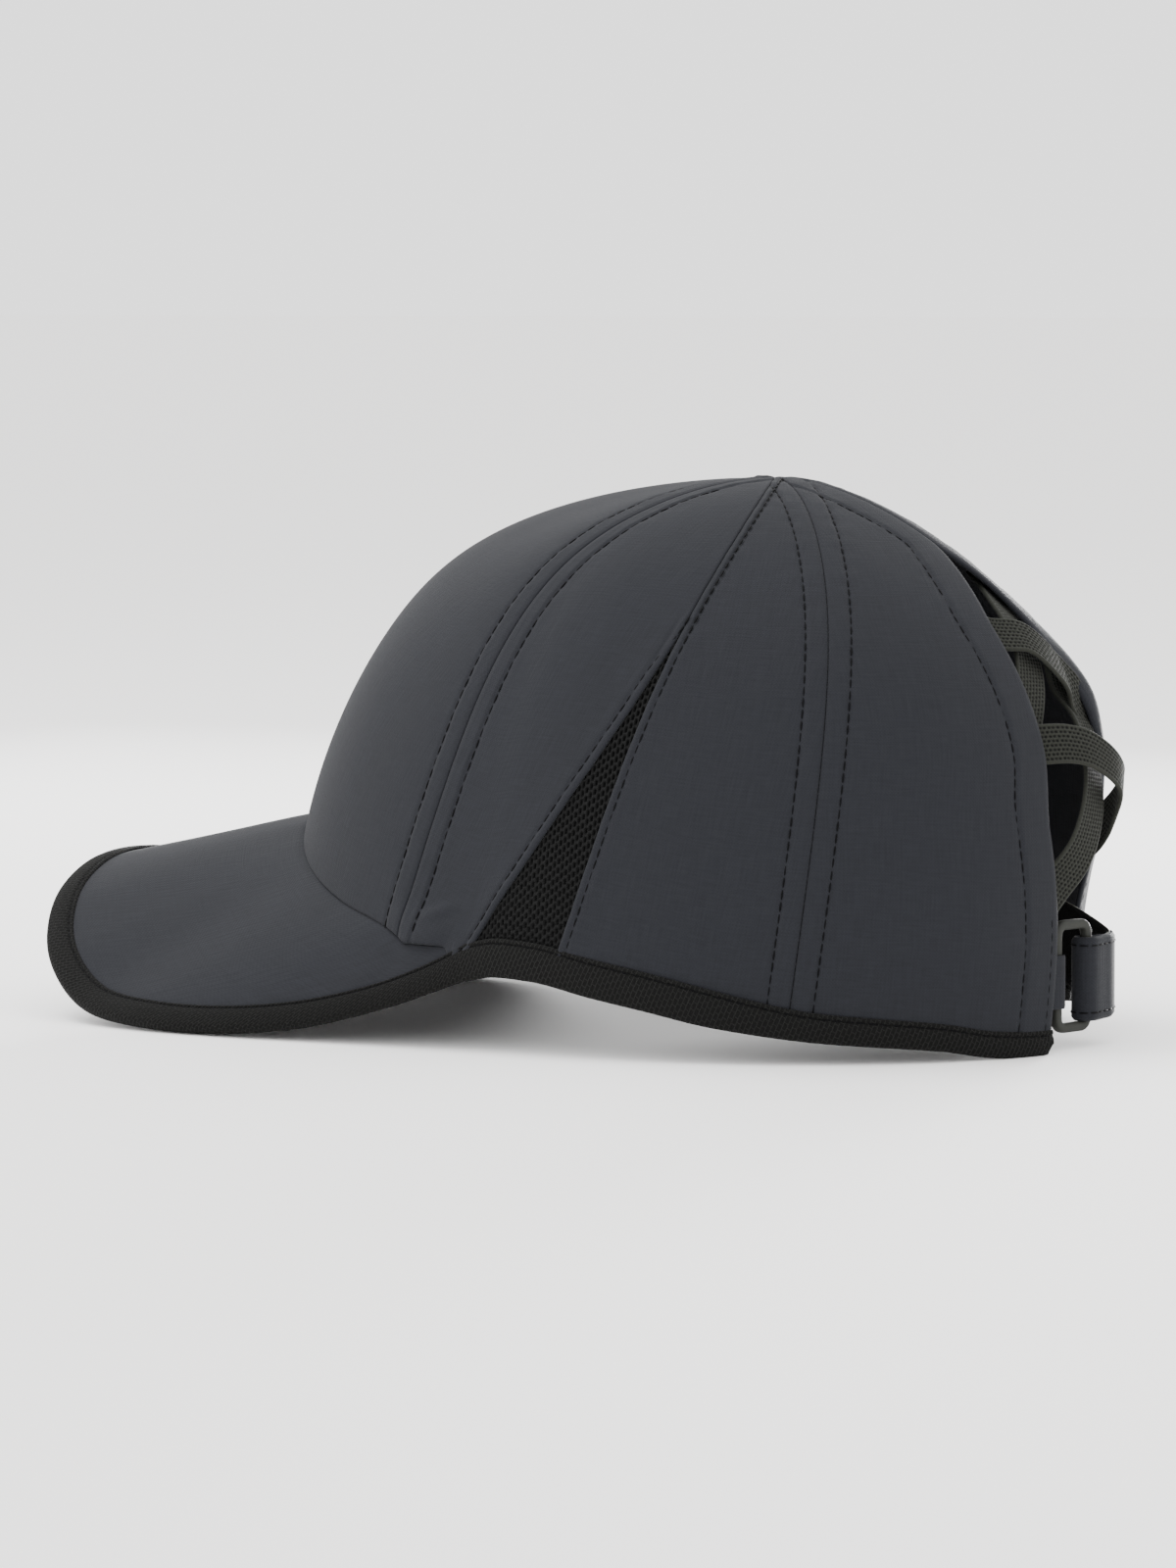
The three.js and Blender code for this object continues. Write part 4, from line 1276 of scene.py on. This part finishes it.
def off_rear(x, stand_off):
    """Plan point at the closure's middle height, off the crown's face."""
    point, out = across_opening(x, closure_height(), 0.0)
    point = point + unit(out * np.array([1, 1, 0])) * stand_off
    return np.array([point[0], point[1], closure_height()])


def off_closure(x, stand_off):
    """The same, off the closure's own line across the rear."""
    return off_rear(x, RING_SINK * closure_share(x / OPENING_HALF_WIDTH) + stand_off)


def ring_places():
    """Middle of the ring's near bar and of its far bar, the way along it and the way out."""
    near_x = OPENING_HALF_WIDTH - RING_INSET
    near = off_closure(near_x, 0)
    far = off_closure(near_x - RING_REACH, 0)
    along = unit(near - far)
    return near, far, along, unit(np.cross(along, (0, 0, -1)))


def turn_round(bar, along, out, thickness, start):
    """Half turn of a band round a bar of the ring."""
    radius = RING_BAR * math.sqrt(0.5) + SEAM_GAP + thickness / 2
    angle = start + np.linspace(0, math.pi, 13)
    return [bar + along * radius * math.cos(a) + out * radius * math.sin(a) for a in angle]


def closure_line():
    """From inside the right back panel, across the rear, round the ring's far bar and back over itself."""
    _, far, along, out = ring_places()
    half = (CLOSURE_THICKNESS + SEAM_GAP) / 2
    inside = layer_stand_off(CLOSURE_LAYER, CLOSURE_THICKNESS)
    points = [drawn(off_rear(-OPENING_HALF_WIDTH - HEM_OVERLAP * s, inside)) for s in (1, 0.5, 0.1)]
    points += [drawn(off_closure(s * OPENING_HALF_WIDTH, -half)) for s in (-0.9, -0.7, -0.5, -0.25, 0)]
    points += turn_round(far, along, out, CLOSURE_THICKNESS, -math.pi / 2)
    tail = far[0] - CLOSURE_TAIL
    for share in (0.15, 0.4, 0.7, 1):
        x = far[0] - RING_BAR + (tail - far[0] + RING_BAR) * share
        points.append(off_closure(x, half - TAIL_DROOP * share**1.5))
    return points


def upright(points):
    """Even line through points, with the way up and the way out of an upright band."""
    middle = evenly(route(points, np.linspace(0, 1, 600)), CLOSURE_STEP)
    along = np.gradient(middle, axis=0)
    up = np.tile([0.0, 0.0, 1.0], (len(middle), 1))
    return middle, up, unit(np.cross(along, up))


class CAP_OT_closure(bpy.types.Operator):
    """Threads the closure strap through the ring, with its tab and stitches"""

    bl_idname = "cap.closure"
    bl_label = "Closure strap and tab"

    def execute(self, context):
        cloth = material_of(context, "cloth")
        middle, up, out = upright(closure_line())
        strap = band(
            "closure_strap_cloth", middle, up, out, CLOSURE_WIDTH, CLOSURE_THICKNESS, CLOSURE_COLUMNS,
        )
        self.line_with_pile(strap, context, middle)
        dress(strap, cloth, "shell", "closure_strap")
        tab = band("ring_tab_cloth", *upright(self.tab_line()), TAB_WIDTH, TAB_CLOTH, CLOSURE_COLUMNS)
        dress(tab, cloth, "shell", "ring_tab")
        self.sew_tail(context, middle, up, out)
        return {"FINISHED"}

    def tab_line(self):
        """From inside the left back panel round the ring's near bar and back."""
        near, _, along, out = ring_places()
        outer, inner = (layer_stand_off(layer, TAB_THICKNESS) for layer in (1, 2))
        end, start = OPENING_HALF_WIDTH + HEM_OVERLAP, OPENING_HALF_WIDTH + RING_BAR
        points = [off_rear(end, outer), off_rear(start, outer)]
        points += turn_round(near, along, out, TAB_HUG, math.pi / 2)
        return points + [off_rear(start, inner), off_rear(end, inner)]

    def line_with_pile(self, strap, context, middle):
        """The run inside the cap is faced with loop pile, and its long edges are cut."""
        for kind in ("cloth", "pile", "edge"):
            strap.data.materials.append(material_of(context, kind))
        inside = int(np.argmax(middle[:, 0] > -0.2 * OPENING_HALF_WIDTH))
        kinds = np.zeros(len(strap.data.polygons), int)
        rings = kinds[: 2 * CLOSURE_COLUMNS * inside].reshape(inside, -1)
        rings[:, : CLOSURE_COLUMNS - 1] = 1
        rings[:, [CLOSURE_COLUMNS - 1, -1]] = 2
        strap.data.polygons.foreach_set("material_index", kinds)

    def sew_tail(self, context, middle, up, out):
        """Two rows of stitches along the tail that is folded back."""
        inset = CLOSURE_WIDTH / 2 - CLOSURE_STITCH_INSET
        stand = CLOSURE_THICKNESS / 2 + 0.05 * MM
        # The last stitch ends just inside the tail's end
        tail = slice(len(middle) // 2, -3)
        runs = [middle[tail] + up[tail] * sign * inset + out[tail] * stand for sign in (1, -1)]
        sew(context, "closure_stitches", runs)


class CAP_OT_ring(bpy.types.Operator):
    """Moulds the flat ring with its round corners and softened edges"""

    bl_idname = "cap.ring"
    bl_label = "Closure ring"

    def execute(self, context):
        near, far, along, out = ring_places()
        upward = np.array([0, 0, 1])
        middle = (near + far) / 2 + upward * RING_LIFT
        half_tall = (CLOSURE_WIDTH + 2 * RING_CLEARANCE + RING_BAR) / 2
        path = rounded_path(RING_REACH / 2, half_tall, RING_BAR)
        turn = np.radians(np.arange(0, 360, 22.5))
        circle = np.stack([np.cos(turn), np.sin(turn)], -1)
        section = np.sign(circle) * np.abs(circle) ** RING_ROUNDNESS * RING_BAR / 2
        step = unit(np.roll(path, -1, axis=0) - np.roll(path, 1, axis=0))
        side = np.stack([step[:, 1], -step[:, 0]], -1)
        plan = path[:, None] + side[:, None] * section[None, :, :1]
        rings = middle + along * plan[..., :1] + upward * plan[..., 1:] + out * section[None, :, 1:]
        piece = loft("closure_ring_moulded", rings, np.zeros((*rings.shape[:2], 2)), closed=True)
        dress(piece, material_of(context, "ring"), "ring", "closure_ring")
        return {"FINISHED"}


def rounded_path(half_wide, half_tall, radius):
    """Closed line round a rectangle with round corners."""
    points = []
    for x, y, start in ((1, 1, 0), (-1, 1, 90), (-1, -1, 180), (1, -1, 270)):
        for angle in np.radians(np.linspace(start, start + 90, 9)):
            points.append((
                x * (half_wide - radius) + radius * math.cos(angle),
                y * (half_tall - radius) + radius * math.sin(angle),
            ))
    return np.array(points)


# Stage


def area_light(name, place, aim, size, power):
    light = bpy.data.lights.new(name, "AREA")
    light.shape = "RECTANGLE"
    light.size, light.size_y = size
    light.energy = power
    lamp = bpy.data.objects.new(name, light)
    lamp.location = place
    lamp.rotation_euler = (Vector(aim) - Vector(place)).to_track_quat("-Z", "Y").to_euler()
    bpy.context.scene.collection.objects.link(lamp)
    return lamp


class CAP_OT_stage(bpy.types.Operator):
    """Sets the pale floor, the soft studio light and the camera"""

    bl_idname = "cap.stage"
    bl_label = "Stage"

    def execute(self, context):
        self.floor()
        self.lights(context)
        self.camera(context)
        return {"FINISHED"}

    def floor(self):
        mesh = bpy.data.meshes.new("floor")
        signs = ((-1, -1), (1, -1), (1, 1), (-1, 1))
        corners = [(x * FLOOR_HALF_WIDTH, y * FLOOR_HALF_WIDTH, 0) for x, y in signs]
        mesh.from_pydata(corners, [], [(0, 1, 2, 3)])
        floor = link("floor", mesh)
        # Painted board: an even matt white
        material, _, shader = new_material("painted_board", roughness=0.9, specular=0.05)
        shader.inputs["Base Color"].default_value = (*linear("#fdfcfb"), 1)
        mesh.materials.append(material)

    def lights(self, context):
        world = bpy.data.worlds.new("studio")
        world.use_nodes = True
        background = world.node_tree.nodes["Background"]
        background.inputs["Color"].default_value = (1, 1, 1, 1)
        background.inputs["Strength"].default_value = context.scene.cap_sizes.studio_light
        context.scene.world = world
        for name, place, size, power in SOFTBOXES:
            area_light(name, place, (0, CROWN_SHIFT, AIM_HEIGHT), size, power)
        # A low lamp behind the cap lights the floor that shows under the arch of the rim
        under = area_light("low_strip", (-1.15, -0.1, 0.12), (0, CROWN_SHIFT, 0), (1.2, 0.12), 4)
        under.data.spread = math.radians(28)
        under.visible_camera = False

    def camera(self, context):
        azimuth, elevation = math.radians(CAMERA_AZIMUTH), math.radians(CAMERA_ELEVATION)
        level = math.cos(elevation)
        back = Vector((math.sin(azimuth) * level, -math.cos(azimuth) * level, math.sin(elevation)))
        camera = bpy.data.cameras.new("camera")
        camera.sensor_fit = "VERTICAL"
        camera.sensor_height = SENSOR_HEIGHT
        camera.lens = SENSOR_HEIGHT * CAMERA_DISTANCE / (IMAGE_HEIGHT * PIXEL_SIZE)
        camera.shift_x = (IMAGE_MIDDLE[0] - AIM_PIXEL[0]) / IMAGE_HEIGHT
        camera.shift_y = (AIM_PIXEL[1] - IMAGE_MIDDLE[1]) / IMAGE_HEIGHT
        camera.clip_end = 100
        holder = bpy.data.objects.new("camera", camera)
        holder.location = Vector((0, CROWN_SHIFT, AIM_HEIGHT)) + back * CAMERA_DISTANCE
        holder.rotation_euler = back.to_track_quat("Z", "Y").to_euler()
        context.scene.collection.objects.link(holder)
        context.scene.camera = holder


# Add-on


def length_property(name, description, default):
    return bpy.props.FloatProperty(
        name=name, description=description, default=default, min=0, unit="LENGTH", precision=5,
    )


class CapSizes(bpy.types.PropertyGroup):
    cloth_wall: length_property("Cloth wall", "Thickness of the cloth with its turned seams", CLOTH_WALL)
    seam_allowance: length_property(
        "Seam allowance", "Distance of the stitch rows from the front and rear seams", 5.5 * MM
    )
    fold_allowance: length_property(
        "Fold allowance", "Distance of the stitch rows from the folds beside the mesh", 2 * MM
    )
    hem: length_property("Hem", "Width of the hem round the rear opening", 11 * MM)
    stitch_pitch: length_property("Stitch pitch", "Distance from one stitch to the next", 2.9 * MM)
    stitch_length: length_property("Stitch length", "Length of thread that shows in one stitch", 2.5 * MM)
    thread: length_property("Thread", "Thickness of the sewing thread", 0.45 * MM)
    knit_pitch: length_property("Knit pitch", "Distance between the columns of holes in the mesh", 1.1 * MM)
    knit_length: length_property("Knit length", "Distance between the holes in one column", 2.2 * MM)
    studio_light: bpy.props.FloatProperty(
        name="Studio light", description="Strength of the white light from all round", default=2.0, min=0,
    )


def colour_property(name, description, colour):
    return bpy.props.FloatVectorProperty(
        name=name, description=description, subtype="COLOR", size=3, min=0, max=1, default=linear(colour),
    )


class CapColours(bpy.types.PropertyGroup):
    cloth: colour_property("Cloth", "Navy grey of the woven cloth", "#202125")
    mesh: colour_property("Mesh", "Black of the knitted mesh", "#151515")
    binding: colour_property("Binding", "Near black of the knitted tape", "#191918")
    elastic: colour_property("Elastic", "Olive grey of the webbing", "#232420")
    ring: colour_property("Ring", "Grey of the moulded ring", "#2d2e2b")
    thread: colour_property("Thread", "Near black of the thread", "#08080a")
    cut_edge: colour_property("Cut edge", "Pale grey of cut webbing", "#77776f")


PIECES = (
    CAP_OT_stage, CAP_OT_panels, CAP_OT_mesh_inserts, CAP_OT_crown_stitches, CAP_OT_brim, CAP_OT_binding,
    CAP_OT_elastic, CAP_OT_closure, CAP_OT_ring,
)


class CAP_PT_pieces(bpy.types.Panel):
    bl_label = "Ponytail cap"
    bl_idname = "CAP_PT_pieces"
    bl_space_type = "VIEW_3D"
    bl_region_type = "UI"
    bl_category = "Cap"

    def draw(self, context):
        for piece in PIECES:
            self.layout.operator(piece.bl_idname)
        for group in (context.scene.cap_sizes, context.scene.cap_colours):
            for name in group.__annotations__:
                self.layout.prop(group, name)


CLASSES = (CapSizes, CapColours, *PIECES, CAP_PT_pieces)


def register():
    for made in CLASSES:
        bpy.utils.register_class(made)
    bpy.types.Scene.cap_sizes = bpy.props.PointerProperty(type=CapSizes)
    bpy.types.Scene.cap_colours = bpy.props.PointerProperty(type=CapColours)


def unregister():
    del bpy.types.Scene.cap_colours
    del bpy.types.Scene.cap_sizes
    for made in reversed(CLASSES):
        bpy.utils.unregister_class(made)


def main():
    register()
    bpy.ops.cap.stage()
    bpy.ops.cap.panels()
    bpy.ops.cap.mesh_inserts()
    bpy.ops.cap.crown_stitches()
    bpy.ops.cap.brim()
    bpy.ops.cap.binding()
    bpy.ops.cap.elastic()
    bpy.ops.cap.closure()
    bpy.ops.cap.ring()


if __name__ == "__main__":
    main()
